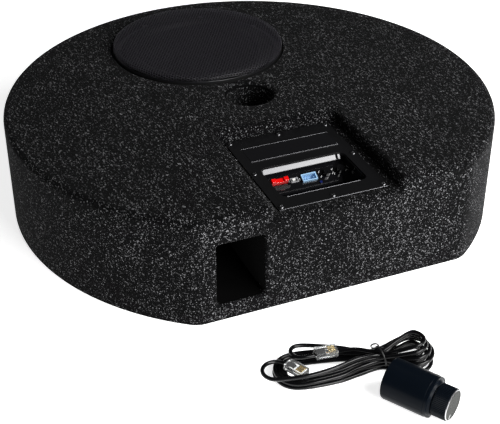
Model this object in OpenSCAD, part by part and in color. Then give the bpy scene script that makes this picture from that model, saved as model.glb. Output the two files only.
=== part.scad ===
// Powered subwoofer for a car's spare-wheel well: a round carpeted box with a
// flat front, a 20 cm driver under a steel grille, a sunk plate amplifier, a
// port in the flat front, and a wired level remote with its cable.
// The origin is on the axis of the hold-down bolt, on the floor. +Z is up and
// -Y is the way the flat front faces. Sizes are in millimetres.

/* [Enclosure] */
// Radius of the round outline, over the carpet
body_r = 275; // [272:1:285]
// Distance from the bolt's axis to the flat front
flat_d = 230; // [229:1:233]
// Height over the carpet, without the grille
body_h = 120; // [118:1:128]
// Thickness of the top and bottom boards
board_t = 15; // [13:1:16]
// Thickness of the bent side wall
wall_t = 12; // [9:1:14]
// Thickness of the carpet
carpet_t = 3; // [2:0.5:3.5]
// Radius of the hole for the hold-down bolt
well_r = 27; // [24:1:28]
// Wall of the tube around that hole
well_wall = 4; // [3:0.5:5]

/* [Port] */
// Width of the port
port_w = 52; // [46:1:54]
// Centre of the port across the front
port_x = -104; // [-108:1:-103]
// Length of the port's duct behind the front board
port_len = 225; // [180:5:230]
// Thickness of the duct's boards
duct_t = 12; // [9:1:12]

/* [Driver] */
// Driver's axis, across
driver_x = -10; // [-12:1:4]
// Driver's axis, behind the bolt
driver_y = 140; // [134:1:141]
// Outer radius of the driver's steel flange
flange_r = 101; // [99:0.5:102]
// Radius where the surround meets the cone
cone_r = 74; // [70:1:75]
// Outer radius of the voice coil's former
coil_r = 19.3; // [18.5:0.1:20]
// Height of the grille over the carpet
grille_h = 8; // [8:0.5:10]
// Number of screws in the driver's flange
driver_screw_n = 8; // [4:2:8]

/* [Amplifier] */
// Centre of the amplifier across the top
amp_x = 1.5; // [0:0.5:3]
// Centre of the amplifier, in front of the bolt
amp_y = -145; // [-146:1:-144]
// Width of the amplifier's plate
plate_w = 122; // [120:1:123]
// Length of the amplifier's plate
plate_l = 144; // [143:1:145]
// Thickness of the amplifier's plate
plate_t = 3; // [2.5:0.5:3]
// Width of the window in the plate
window_w = 96; // [94:1:97]
// Length of the window in the plate
window_l = 59; // [57:1:60]
// Slope of the control panel under the window
panel_tilt = 28; // [24:1:30]
// Turn of the gain and low-pass knobs
trim_turn = 300; // [270:5:300]
// Travel of the phase switch
phase_travel = 2.5; // [2:0.5:2.5]

/* [Remote] */
// Middle of the remote's back end on the floor
remote_pos = [-24, -389];
// Heading of the remote's shaft
remote_heading = -58; // [-60:0.5:-56]
// Length of the remote's case
remote_l = 48; // [46:1:50]
// Radius of the remote's case
remote_r = 20; // [18.5:0.5:20.5]
// Radius of the remote's knob
remote_knob_r = 15.5; // [14:0.5:15.5]
// Length of the remote's knob
remote_knob_l = 15; // [12:0.5:16]

/* [Cable] */
// Middle of the coiled cable on the floor
hank_pos = [-42, -345];
// Length of the coiled cable
hank_l = 164; // [160:1:168]
// Width of the coiled cable at its loose end
hank_w = 50; // [46:1:52]
// Height of the coiled cable
hank_h = 26; // [24:1:28]
// Heading of the coiled cable
hank_heading = -13; // [-15:1:-12]

/* [Hidden] */

$fn = 96;
// Small overlap that makes a cut run clean through
eps = 0.5;

// Levels of the box
wood_r = body_r - carpet_t;
wood_d = flat_d - carpet_t;
wood_top = body_h - carpet_t;
room_lo = carpet_t + board_t;
room_hi = wood_top - board_t;
room_r = wood_r - wall_t;
front_inner_y = -wood_d + board_t;

// Notch over the amplifier, bare wood and carpeted
notch_half = plate_w / 2 + 12;
notch_back = amp_y + plate_l / 2 + 5;
recess_half = notch_half - carpet_t;
recess_back = notch_back - carpet_t;
ledge_z = room_hi + carpet_t;

// Port
port_lo = room_lo;
port_hi = room_hi - duct_t;
duct_back = front_inner_y + port_len;

// Driver
rebate_t = 5;
rebate_r = flange_r + 3;
cutout_r = flange_r - 13;
screw_ring_r = flange_r - 4;
flange_z = wood_top - rebate_t;
flange_t = 2.4;
land_z = flange_z + flange_t;
roll_r = 6.5;
rubber_t = 0.8;
roll_mid_r = cone_r + roll_r + 0.5;
cone_low_z = land_z - 28;
paper_t = 1;
landing_z = land_z - 36;
motor_z = land_z - 44;
top_plate_t = 6;
magnet_t = 18;
back_plate_t = 6;
coil_gap = 0.6;

// Amplifier
gasket_t = 1;
plate_lo = room_hi + gasket_t;
plate_hi = plate_lo + plate_t;
cover_half = window_w / 2 + 4;
cover_front = amp_y - plate_l / 2 + 14;
cover_back = amp_y + plate_l / 2 - 10;
cover_lo = 36;
lead_z = 44;
sheet_t = 1.5;
window_front = amp_y - plate_l / 2 + 20;
window_back = window_front + window_l;
panel_z = plate_lo - 7;
panel_run = 23;
panel_foot_z = panel_z - panel_run * tan(panel_tilt);
floor_z = panel_foot_z - 4.5;
screw_inset = 4.5;
inlay_w = 100;
inlay_l = 28;
inlay_front = window_back + 16;
trim_knob_r = 4.2;
trim_shaft_r = 2;
run_gap = 0.05;
fuse_at = [-31.5, 13];
phase_at = [-12.5, 12];
input_at = [3.5, 13];
gain_at = [24, 12];
lowpass_at = [39.5, 12];
light_at = [14.5, 21];
strip_x = -24;
rca_x = [2, 17];
rca_r = 4.15;
rca_h = 9;
socket_x = 37;
floor_row_y = window_front + 20;

// Remote and cable
flat_share = 0.92;
axis_h = remote_r * flat_share;
knob_gap = 1;
cap_t = 1.2;
shaft_r = 3;
hank_small_r = 19;
plug_l = 21.5;
plug_w = 11.7;
plug_t = 8;

// Plan of the box: a disc of radius r cut off flat at y = -d
module plan(r, d) {
    intersection() {
        circle(r = r, $fn = 240);
        translate([-r, -d]) square([2 * r, r + d]);
    }
}

// A slab of that plan from z0 to z1
module slab(r, d, z0, z1) {
    translate([0, 0, z0]) linear_extrude(z1 - z0) plan(r, d);
}

// A box between two corners
module block(lo, hi) {
    translate(lo) cube(hi - lo);
}

// A round rod along +Z from z0 to z1
module rod(r, z0, z1) {
    translate([0, 0, z0]) cylinder(r = r, h = z1 - z0);
}

// A tube along +Z from z0 to z1
module tube(r_out, r_in, z0, z1) {
    difference() {
        rod(r_out, z0, z1);
        rod(r_in, z0 - eps, z1 + eps);
    }
}

// A block from z0 to z1 with rounded corners in plan
module rounded_block(lo, hi, r, z0, z1) {
    translate([0, 0, z0]) linear_extrude(z1 - z0) {
        translate([lo[0] + r, lo[1]]) square([hi[0] - lo[0] - 2 * r, hi[1] - lo[1]]);
        translate([lo[0], lo[1] + r]) square([hi[0] - lo[0], hi[1] - lo[1] - 2 * r]);
        for (x = [lo[0] + r, hi[0] - r], y = [lo[1] + r, hi[1] - r])
            translate([x, y]) circle(r = r, $fn = 32);
    }
}

// Children placed on the driver's axis
module at_driver() {
    translate([driver_x, driver_y, 0]) children();
}

// Children repeated around the driver's axis
module around(n, r, first = 0) {
    for (i = [0 : n - 1])
        rotate([0, 0, first + i * 360 / n]) translate([r, 0, 0]) children();
}

// Children placed on the sloping control panel, z along its normal
module on_panel(at) {
    translate([amp_x + at[0], window_back, panel_z])
        rotate([panel_tilt, 0, 0]) translate([0, -at[1], 0]) children();
}

// Children in the remote's own frame, x along its shaft, z = 0 on the floor
module at_remote() {
    translate([remote_pos[0], remote_pos[1], 0])
        rotate([0, 0, remote_heading]) children();
}

// Children along the remote's shaft, z along the shaft
module on_shaft(x) {
    at_remote() translate([x, 0, axis_h]) rotate([0, 90, 0]) children();
}

// Children in the coiled cable's own frame
module at_hank() {
    translate([hank_pos[0], hank_pos[1], 0])
        rotate([0, 0, hank_heading]) children();
}

// ---- Box ----

module bottom_board() {
    color("burlywood") difference() {
        slab(wood_r, wood_d, carpet_t, room_lo);
        rod(well_r + well_wall, 0, room_lo + eps);
    }
}

module top_board() {
    color("burlywood") difference() {
        slab(wood_r, wood_d, room_hi, wood_top);
        rod(well_r + well_wall, room_hi - eps, wood_top + eps);
        at_driver() rod(cutout_r + 1, room_hi - eps, wood_top + eps);
        at_driver() rod(rebate_r, flange_z, wood_top + eps);
        block([amp_x - notch_half, -wood_d - eps, room_hi - eps],
              [amp_x + notch_half, notch_back, wood_top + eps]);
    }
}

module side_wall() {
    color("tan") difference() {
        slab(wood_r, wood_d - board_t, room_lo, room_hi);
        rod(room_r, room_lo - eps, room_hi + eps);
    }
}

module front_board() {
    color("burlywood") difference() {
        intersection() {
            slab(wood_r, wood_d, room_lo, room_hi);
            block([-wood_r, -wood_d, room_lo], [wood_r, front_inner_y, room_hi]);
        }
        block([port_x - port_w / 2, -wood_d - eps, port_lo - eps],
              [port_x + port_w / 2, front_inner_y + eps, port_hi]);
    }
}

module amp_shelf() {
    color("burlywood") difference() {
        block([port_x + port_w / 2 + duct_t, front_inner_y, room_hi - duct_t],
              [amp_x + notch_half + 12, notch_back + 12, room_hi]);
        block([amp_x - cover_half - 1, cover_front - 1, room_hi - duct_t - eps],
              [amp_x + cover_half + 1, cover_back + 1, room_hi + eps]);
    }
}

// One upright board of the port's duct, whose port face is at x
module port_side(x, out) {
    color("burlywood")
        block([x + min(out, 0), front_inner_y, port_lo],
              [x + max(out, 0), duct_back, port_hi]);
}

module port_side_outer() {
    port_side(port_x - port_w / 2, -duct_t);
}

module port_side_inner() {
    port_side(port_x + port_w / 2, duct_t);
}

module port_roof() {
    color("burlywood")
        block([port_x - port_w / 2 - duct_t, front_inner_y, port_hi],
              [port_x + port_w / 2 + duct_t, duct_back, room_hi]);
}

module bolt_tube() {
    color("dimgray") tube(well_r + well_wall, well_r, 0, wood_top);
}

// ---- Carpet ----

module top_carpet() {
    color("darkslategray") difference() {
        slab(wood_r, wood_d, wood_top, body_h);
        rod(well_r, wood_top - eps, body_h + eps);
        at_driver() rod(rebate_r, wood_top - eps, body_h + eps);
        block([amp_x - recess_half, -wood_d - eps, wood_top - eps],
              [amp_x + recess_half, recess_back, body_h + eps]);
    }
}

module side_carpet() {
    color("darkslategray") difference() {
        slab(body_r, flat_d, 0, body_h);
        slab(wood_r, wood_d, -eps, body_h + eps);
        block([port_x - port_w / 2, -flat_d - eps, port_lo],
              [port_x + port_w / 2, -wood_d + eps, port_hi]);
        block([amp_x - recess_half, -flat_d - eps, ledge_z],
              [amp_x + recess_half, -wood_d + eps, body_h + eps]);
    }
}

module bottom_carpet() {
    color("darkslategray") difference() {
        slab(wood_r, wood_d, 0, carpet_t);
        rod(well_r + well_wall, -eps, carpet_t + eps);
    }
}

module recess_carpet() {
    color("darkslategray") difference() {
        block([amp_x - notch_half, -wood_d, room_hi],
              [amp_x + notch_half, notch_back, wood_top]);
        block([amp_x - recess_half, -wood_d - eps, ledge_z],
              [amp_x + recess_half, recess_back, wood_top + eps]);
        block([amp_x - plate_w / 2 - 0.5, amp_y - plate_l / 2 - 0.5, room_hi - eps],
              [amp_x + plate_w / 2 + 0.5, amp_y + plate_l / 2 + 0.5, ledge_z + eps]);
    }
}

// ---- Driver ----

module driver_basket() {
    color("darkgray") at_driver() {
        difference() {
            tube(flange_r, cutout_r - 1, flange_z, land_z);
            around(driver_screw_n, screw_ring_r, 22.5) rod(2, flange_z - eps, land_z + eps);
        }
        tube(cutout_r, cutout_r - 3, flange_z - 16, flange_z + 0.2);
        tube(62, 52, landing_z - 2, landing_z);
        tube(62, 59, motor_z + 1.5, landing_z - 1.5);
        tube(60, 26, motor_z, motor_z + 2);
        around(6, 59, 0) difference() {
            translate([0, -7, landing_z - 4]) rotate([0, -40, 0]) cube([46, 14, 3]);
            block([-20, -8, landing_z - 20], [1.5, 8, landing_z + 10]);
            block([27.5, -8, landing_z], [50, 8, land_z + 5]);
        }
    }
}

module driver_top_plate() {
    color("silver") at_driver()
        tube(52, coil_r + 0.7 + coil_gap, motor_z - top_plate_t, motor_z);
}

module driver_magnet() {
    color("#303236") at_driver()
        tube(58, 28, motor_z - top_plate_t - magnet_t, motor_z - top_plate_t);
}

module driver_back_plate() {
    low = motor_z - top_plate_t - magnet_t - back_plate_t;
    color("silver") at_driver() difference() {
        union() {
            rod(52, low, low + back_plate_t);
            rod(coil_r - 0.5 - coil_gap, low + 1, motor_z + 1);
        }
        rod(6, low - eps, motor_z + 2);
    }
}

// Half-round roll of rubber between the flange and the cone
module driver_surround() {
    steps = 12;
    outer = [for (i = [0 : steps]) let (a = 180 - i * 180 / steps)
        [roll_mid_r + roll_r * cos(a), land_z + rubber_t + roll_r * sin(a) * 0.9]];
    inner = [for (i = [0 : steps]) let (a = i * 180 / steps)
        [roll_mid_r + (roll_r - rubber_t) * cos(a), land_z + (roll_r - rubber_t) * sin(a) * 0.9]];
    profile = concat(
        [[cone_r - 4, land_z], [cone_r - 4, land_z + rubber_t]], outer,
        [[roll_mid_r + roll_r + 6, land_z + rubber_t], [roll_mid_r + roll_r + 6, land_z]], inner);
    color("#1b1b1d") at_driver() rotate_extrude() polygon(profile);
}

module driver_spider() {
    r0 = coil_r;
    waves = 5;
    pitch = (57 - r0 - 2) / waves;
    crest = [for (i = [0 : waves * 2]) [r0 + 1 + i * pitch / 2, landing_z + 0.6 + 1.4 * (i % 2)]];
    under = [for (i = [waves * 2 : -1 : 0]) [crest[i][0], crest[i][1] - 0.6]];
    profile = concat([[r0, landing_z], [r0, landing_z + 0.6]], crest,
        [[60, landing_z + 0.6], [60, landing_z]], under);
    color("goldenrod") at_driver() rotate_extrude() polygon(profile);
}

module driver_cone() {
    profile = [[coil_r, cone_low_z], [cone_r - 6, land_z - paper_t], [cone_r, land_z - paper_t],
        [cone_r, land_z], [cone_r - 6.5, land_z], [coil_r, cone_low_z + paper_t * 1.4]];
    color("#202224") at_driver() rotate_extrude() polygon(profile);
}

module driver_dust_cap() {
    cap_r = 30;
    rise = 9;
    steps = 10;
    seat = land_z - (cone_r - 6.5 - cap_r) * (land_z - cone_low_z - 1.4) / (cone_r - 6.5 - coil_r);
    dome = [for (i = [0 : steps]) let (a = i * 90 / steps) [cap_r * cos(a), seat + 0.4 + rise * sin(a)]];
    shell = [for (i = [steps : -1 : 0]) let (a = i * 90 / steps)
        [(cap_r - 1) * cos(a), seat + 0.4 + (rise - 1) * sin(a)]];
    color("#18191b") at_driver() rotate_extrude() polygon(concat(dome, shell));
}

module driver_voice_coil() {
    color("#b4612c") at_driver() {
        tube(coil_r, coil_r - 0.5, motor_z - 14, cone_low_z + 1);
        tube(coil_r + 0.7, coil_r, motor_z - 11, motor_z + 5);
    }
}

module driver_gasket() {
    color("#242424") at_driver()
        tube(roll_mid_r + roll_r + 6, roll_mid_r + roll_r + 1, land_z + rubber_t, land_z + 3);
}

module driver_terminals() {
    color("silver") at_driver() rotate([0, 0, -90]) {
        block([62, -9, landing_z - 6], [65, 9, landing_z + 2]);
        for (y = [-5, 5]) block([65, y - 3, landing_z - 3], [73, y + 3, landing_z - 2.2]);
    }
}

module driver_screws() {
    color("#3a3a3c") at_driver() around(driver_screw_n, screw_ring_r, 22.5) {
        rod(1.9, room_hi + 2, land_z + 0.1);
        difference() {
            rod(3.4, land_z, land_z + 2.2);
            for (a = [0, 90]) rotate([0, 0, a]) block([-2, -0.4, land_z + 1.2], [2, 0.4, land_z + 3]);
        }
    }
}

// Two insulated wires from the amplifier to the driver
module driver_leads() {
    lead_r = 1.2;
    // Each straight run goes on a little past its bend, into the next
    bend_run = 0.8;
    for (side = [-1, 1]) {
        points = [
            [amp_x + side * 3, cover_back + 0.5, lead_z],
            [amp_x + side * 3, cover_back + 12, lead_z],
            [46 + side * 3, -40, 30],
            [46 + side * 3, 10, 30],
            [driver_x + side * 5, driver_y - 82, 60],
            [driver_x + side * 5, driver_y - 73.2, landing_z - 2.6]];
        color(side < 0 ? "black" : "red") for (i = [0 : len(points) - 2]) {
            step = points[i + 1] - points[i];
            reach = norm(step);
            translate(points[i])
                rotate([0, acos(step[2] / reach), atan2(step[1], step[0])])
                cylinder(r = lead_r, h = reach + (i < len(points) - 2 ? bend_run : 0), $fn = 8);
        }
    }
}

// ---- Grille ----

module grille_ring() {
    color("#101010") at_driver()
        tube(rebate_r - 0.5, flange_r + 0.4, flange_z, body_h + 0.8);
}

// Pressed dish of perforated steel, drawn here without its holes
module grille_mesh() {
    skin = 1;
    shoulder = 6;
    r = rebate_r - 1;
    top = body_h + grille_h;
    arc = [for (i = [0 : 6]) let (a = i * 15)
        [r - shoulder + shoulder * cos(a), top - shoulder + shoulder * sin(a)]];
    under = [for (i = [6 : -1 : 0]) let (a = i * 15)
        [r - shoulder + (shoulder - skin) * cos(a), top - shoulder + (shoulder - skin) * sin(a)]];
    profile = concat([[r, body_h + 0.8]], arc, [[0, top], [0, top - skin]], under,
        [[r - skin, body_h + 0.8]]);
    color("#2a2b2d") at_driver() rotate_extrude() polygon(profile);
}

// ---- Amplifier ----

module amp_screw_points() {
    for (i = [-1 : 1], j = [-1 : 1])
        if (i != 0 || j != 0)
            translate([amp_x + i * (plate_w / 2 - screw_inset), amp_y + j * (plate_l / 2 - screw_inset), 0])
                children();
}

module amp_plate() {
    color("#1c1d1f") difference() {
        rounded_block([amp_x - plate_w / 2, amp_y - plate_l / 2], [amp_x + plate_w / 2, amp_y + plate_l / 2],
            3, plate_lo, plate_hi);
        rounded_block([amp_x - window_w / 2, window_front], [amp_x + window_w / 2, window_back],
            7, plate_lo - eps, plate_hi + eps);
        block([amp_x - inlay_w / 2 - 0.5, inlay_front - 0.5, plate_hi - 1.2],
              [amp_x + inlay_w / 2 + 0.5, inlay_front + inlay_l + 0.5, plate_hi + eps]);
        amp_screw_points() rod(2.2, plate_lo - eps, plate_hi + eps);
    }
}

module amp_inlay() {
    color("#0c0c0d")
        block([amp_x - inlay_w / 2, inlay_front, plate_hi - 1.2],
              [amp_x + inlay_w / 2, inlay_front + inlay_l, plate_hi - 0.4]);
}

module amp_gasket() {
    color("#222222") difference() {
        block([amp_x - plate_w / 2 + 1, amp_y - plate_l / 2 + 1, room_hi],
              [amp_x + plate_w / 2 - 1, amp_y + plate_l / 2 - 1, plate_lo]);
        block([amp_x - cover_half, cover_front, room_hi - eps],
              [amp_x + cover_half, cover_back, plate_lo + eps]);
        amp_screw_points() rod(2.2, room_hi - eps, plate_lo + eps);
    }
}

// Tray under the window, with the sloping panel along its back
module amp_well() {
    t = sheet_t;
    half = window_w / 2 + t;
    f = window_front;
    b = window_back;
    outside = [[b + t, plate_lo], [b + t, panel_z - t], [b - panel_run + t, panel_foot_z - t],
        [b - panel_run + t, floor_z - t], [f - t, floor_z - t], [f - t, plate_lo]];
    inside = [[b, plate_lo + eps], [b, panel_z], [b - panel_run, panel_foot_z],
        [b - panel_run, floor_z], [f, floor_z], [f, plate_lo + eps]];
    color("#111214") difference() {
        translate([amp_x - half, 0, 0]) rotate([90, 0, 90]) linear_extrude(2 * half) polygon(outside);
        translate([amp_x - half + t, 0, 0]) rotate([90, 0, 90])
            linear_extrude(2 * (half - t)) polygon(inside);
        on_panel(fuse_at) block([-12, -5, -5], [12, 5, 3]);
        on_panel(phase_at) block([-4.5, -3, -5], [4.5, 3, 3]);
        on_panel(input_at) block([-8.5, -4.5, -5], [8.5, 4.5, 3]);
        on_panel(gain_at) rod(3.5, -5, 3);
        on_panel(lowpass_at) rod(3.5, -5, 3);
        on_panel(light_at) rod(1.6, -5, 3);
        block([amp_x + strip_x - 17, floor_row_y - 6, floor_z - 3],
              [amp_x + strip_x + 17, floor_row_y + 6, floor_z + 1]);
        for (x = rca_x) translate([amp_x + x, floor_row_y, 0]) rod(rca_r - 0.3, floor_z - 3, floor_z + 1);
        block([amp_x + socket_x - 8, floor_row_y - 8, floor_z - 3],
              [amp_x + socket_x + 8, floor_row_y + 8, floor_z + 1]);
    }
}

// Folded steel cover on the amplifier's back, inside the box
module amp_cover() {
    color("gray") difference() {
        block([amp_x - cover_half, cover_front, cover_lo], [amp_x + cover_half, cover_back, plate_lo]);
        block([amp_x - cover_half + sheet_t, cover_front + sheet_t, cover_lo + sheet_t],
              [amp_x + cover_half - sheet_t, cover_back - sheet_t, plate_lo + eps]);
        for (side = [-1, 1])
            translate([amp_x + side * 3, cover_back - 3, lead_z]) rotate([-90, 0, 0]) rod(1.4, 0, 5);
    }
}

module amp_board() {
    color("darkgreen")
        block([amp_x - cover_half + 4, cover_front + 4, cover_lo + 8],
              [amp_x + cover_half - 4, cover_back - 4, cover_lo + 9.6]);
}

// Transformer, capacitors, chokes and transistors that stand on the board
module amp_parts() {
    top = cover_lo + 9.6;
    color("#a3582a") translate([amp_x - 20, cover_back - 26, 0]) tube(19, 7, top, top + 16);
    color("#23273a") for (i = [0 : 3])
        translate([amp_x + 10 + 11 * (i % 2), cover_back - 16 - 12 * floor(i / 2), 0])
            rod(5, top, top + 22);
    color("#23273a") for (i = [0 : 3])
        translate([amp_x - 30 + 20 * i, cover_front + 22, 0]) rod(6, top, top + 15);
    color("#111111") for (i = [-1 : 1])
        block([amp_x + 20 * i - 5, cover_back - 51, top], [amp_x + 20 * i + 5, cover_back - 46, top + 18]);
    color("#3c3c3c") block([amp_x + 26, cover_front + 40, top], [amp_x + 42, cover_front + 56, top + 10]);
}

module amp_heat_bar() {
    color("silver") difference() {
        block([amp_x - 44, cover_back - 18, plate_lo - 14], [amp_x + 44, cover_back - 4, plate_lo]);
        for (i = [0 : 7])
            block([amp_x - 40 + 10.5 * i, cover_back - 19, plate_lo - 15],
                  [amp_x - 34 + 10.5 * i, cover_back - 3, plate_lo - 4]);
    }
}

module amp_screws() {
    color("#2c2c2e") amp_screw_points() {
        rod(1.9, room_hi - 10, plate_hi + 0.1);
        difference() {
            rod(3.3, plate_hi, plate_hi + 1.8);
            for (a = [0, 90]) rotate([0, 0, a]) block([-2, -0.4, plate_hi + 0.9], [2, 0.4, plate_hi + 3]);
        }
    }
}

module fuse_holder() {
    color("#151515") on_panel(fuse_at) difference() {
        block([-11.9, -4.9, -8], [11.9, 4.9, 3]);
        for (x = [-6.9, 6.9]) block([x - 3, -0.6, -7], [x + 3, 0.6, 4]);
    }
}

// One blade fuse: a 19.1 mm plastic head on two flat blades
module blade_fuse() {
    color("red") on_panel(fuse_at) {
        block([-9.55, -2.55, 3.1], [9.55, 2.55, 8.5]);
        for (x = [-6.9, 6.9]) {
            block([x - 2.6, -0.35, -4], [x + 2.6, 0.35, 3.2]);
            block([x - 2.65, -2.55, 8.4], [x + 2.65, 2.55, 10.5]);
        }
    }
}

module speaker_input() {
    color("#8fb7d8") on_panel(input_at) {
        difference() {
            block([-8.4, -4.4, -8], [8.4, 4.4, 3]);
            block([-7.2, -3.2, -4], [7.2, 3.2, 3 + eps]);
        }
        for (i = [0 : 3]) block([-5.7 + 3.5 * i, -0.4, -4.5], [-4.9 + 3.5 * i, 0.4, 1.5]);
    }
}

module power_strip() {
    color("#1a1a1a") difference() {
        block([amp_x + strip_x - 16.9, floor_row_y - 5.9, floor_z - 6],
              [amp_x + strip_x + 16.9, floor_row_y + 5.9, floor_z + 8]);
        for (i = [-1 : 1])
            block([amp_x + strip_x + 11 * i - 4.6, floor_row_y - 7, floor_z + 1],
                  [amp_x + strip_x + 11 * i + 4.6, floor_row_y + 3.5, floor_z + 9]);
    }
    color("silver") for (i = [-1 : 1])
        translate([amp_x + strip_x + 11 * i, floor_row_y - 1.5, 0]) difference() {
            rod(3.4, floor_z + 1, floor_z + 4.5);
            block([-3, -0.5, floor_z + 3.5], [3, 0.5, floor_z + 5]);
        }
}

module rca_jacks() {
    for (x = rca_x) translate([amp_x + x, floor_row_y, 0]) {
        color("silver") tube(rca_r, rca_r - 0.7, floor_z, floor_z + rca_h);
        color("silver") tube(rca_r - 0.4, rca_r - 0.9, floor_z - 5, floor_z + 0.5);
        color("white") tube(rca_r - 0.7, 1.6, floor_z - 5, floor_z + rca_h - 1.5);
    }
}

// Eight-way modular socket for the remote's cable, open upward
module remote_socket() {
    color("#202020") difference() {
        block([amp_x + socket_x - 7.9, floor_row_y - 7.9, floor_z - 6],
              [amp_x + socket_x + 7.9, floor_row_y + 7.9, floor_z + 9]);
        block([amp_x + socket_x - 6, floor_row_y - 4, floor_z - 4],
              [amp_x + socket_x + 6, floor_row_y + 3.2, floor_z + 10]);
        block([amp_x + socket_x - 3.2, floor_row_y - 6, floor_z - 4],
              [amp_x + socket_x + 3.2, floor_row_y - 3.5, floor_z + 10]);
    }
}

module power_light() {
    color("#3355ff") on_panel(light_at) {
        rod(1.5, -3, 1.2);
    }
}

module trim_pots() {
    color("#24425f") for (at = [gain_at, lowpass_at]) on_panel(at) difference() {
        union() {
            block([-5, -5, -9], [5, 5, -2.3]);
            rod(3.3, -2.5, 0.6);
        }
        rod(trim_shaft_r + run_gap, -8, 1);
    }
}

module trim_knob(at) {
    on_panel(at) {
        rod(trim_shaft_r, -7.5, 1.2);
        difference() {
            rod(trim_knob_r, 1, 6);
            rotate([0, 0, trim_turn / 2]) block([-0.4, 0.8, 5.4], [0.4, 5, 7]);
        }
    }
}

module gain_knob() {
    color("#101010") trim_knob(gain_at);
}

module lowpass_knob() {
    color("#101010") trim_knob(lowpass_at);
}

module phase_switch() {
    color("#9a9da0") on_panel(phase_at) difference() {
        block([-4.4, -2.9, -6], [4.4, 2.9, 0.6]);
        block([-3.2, -1.5, -4], [3.2, 1.5, 1 + eps]);
    }
}

module phase_slider() {
    color("#dadcde") on_panel(phase_at)
        block([-phase_travel / 2 - 1.6, -1.2, -3.7], [-phase_travel / 2 + 1.6, 1.2, 2.4]);
}

// ---- Remote ----

// Cross-section of the remote's case: round above, flat-bottomed below
module remote_section(r) {
    intersection() {
        circle(r = r);
        union() {
            translate([-r, 0]) square([2 * r, r]);
            polygon([[-r, 0.1], [-r, -r * 0.5], [-r * 0.6, -r * flat_share],
                     [r * 0.6, -r * flat_share], [r, -r * 0.5], [r, 0.1]]);
        }
    }
}

// A length of that section along the remote's shaft
module remote_bar(r, x0, x1) {
    at_remote() translate([x0, 0, axis_h]) rotate([90, 0, 90])
        linear_extrude(x1 - x0) remote_section(r);
}

module remote_shell() {
    wall = 2;
    difference() {
        remote_bar(remote_r, 0, remote_l - 5);
        remote_bar(remote_r - wall, wall, remote_l);
        at_remote() block([-1, -6.6, axis_h - 5], [wall + 1, 6.6, axis_h + 4.6]);
    }
}

module remote_upper() {
    color("#16171a") intersection() {
        remote_shell();
        at_remote() block([-5, -30, axis_h - 3], [60, 30, 60]);
    }
}

module remote_lower() {
    color("#16171a") intersection() {
        remote_shell();
        at_remote() block([-5, -30, -5], [60, 30, axis_h - 3]);
    }
}

// Stepped front ring that the potentiometer is screwed into
module remote_collar() {
    color("#1d1e21") difference() {
        union() {
            remote_bar(remote_r - 0.4, remote_l - 5, remote_l - 2);
            on_shaft(remote_l - 2.1) cylinder(r1 = remote_r - 2.6, r2 = remote_r - 4, h = 2.1);
        }
        on_shaft(remote_l - 8) rod(3.6, 0, 12);
    }
}

module remote_pot() {
    color("#7c8790") on_shaft(0) difference() {
        union() {
            rod(8, remote_l - 13, remote_l - 5);
            rod(3.5, remote_l - 5.2, remote_l + 0.6);
        }
        rod(shaft_r + run_gap, remote_l - 11, remote_l + 1);
    }
}

module remote_jack() {
    color("#2a2b2e") at_remote() difference() {
        block([0.4, -6.5, axis_h - 4.9], [15, 6.5, axis_h + 4.5]);
        block([0, -5.9, axis_h - 3.4], [13, 5.9, axis_h + 3.6]);
        block([0, -3.1, axis_h - 4.4], [13, 3.1, axis_h - 3]);
    }
}

module remote_knob() {
    color("#0f1011") on_shaft(remote_l + knob_gap) {
        difference() {
            rod(remote_knob_r, 0, remote_knob_l - cap_t);
            rod(remote_knob_r - 2.2, -eps, remote_knob_l - cap_t - 3);
        }
        rod(6, 0.5, remote_knob_l - cap_t - 2.9);
        rod(shaft_r, -11, 1);
    }
}

// Spun aluminium disc with a pointer groove near its rim
module remote_knob_cap() {
    pointer_heading = -30;
    color("silver") on_shaft(remote_l + knob_gap + remote_knob_l - cap_t) difference() {
        rod(remote_knob_r - 0.3, 0, cap_t);
        rotate([0, 0, pointer_heading])
            block([remote_knob_r - 6, -0.4, cap_t - 0.4], [remote_knob_r - 1, 0.4, cap_t + 1]);
    }
}

// ---- Cable ----

module cable_hank() {
    big_r = hank_w / 2;
    left = -hank_l / 2 + big_r;
    right = hank_l / 2 - hank_small_r;
    color("#17181a") at_hank() linear_extrude(hank_h) hull() {
        translate([left, 0]) circle(r = big_r, $fn = 32);
        translate([right, 0]) circle(r = hank_small_r, $fn = 32);
    }
}

module cable_tie() {
    color("#0d0d0d") at_hank() difference() {
        block([28, -23.4, 0], [31, 23.4, hank_h + 2]);
        block([27, -21.9, -1], [32, 21.9, hank_h + 0.4]);
    }
}

// Clear eight-way modular plug, latch side up
module modular_plug() {
    color("gainsboro") {
        block([0, -plug_w / 2, 0], [plug_l, plug_w / 2, plug_t - 1.4]);
        block([8, -3, plug_t - 1.5], [plug_l - 1, 3, plug_t]);
    }
    color("gold") for (i = [0 : 7])
        block([plug_l - 0.05, -3.7 + 1.02 * i, 1.5], [plug_l + 0.35, -3.3 + 1.02 * i, 4.5]);
}

module plug_a() {
    at_hank() translate([-33, 4, 15]) rotate([0, 0, 6]) modular_plug();
}

module plug_b() {
    at_hank() translate([-60, 0, 10]) rotate([0, 0, -50]) modular_plug();
}

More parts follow.
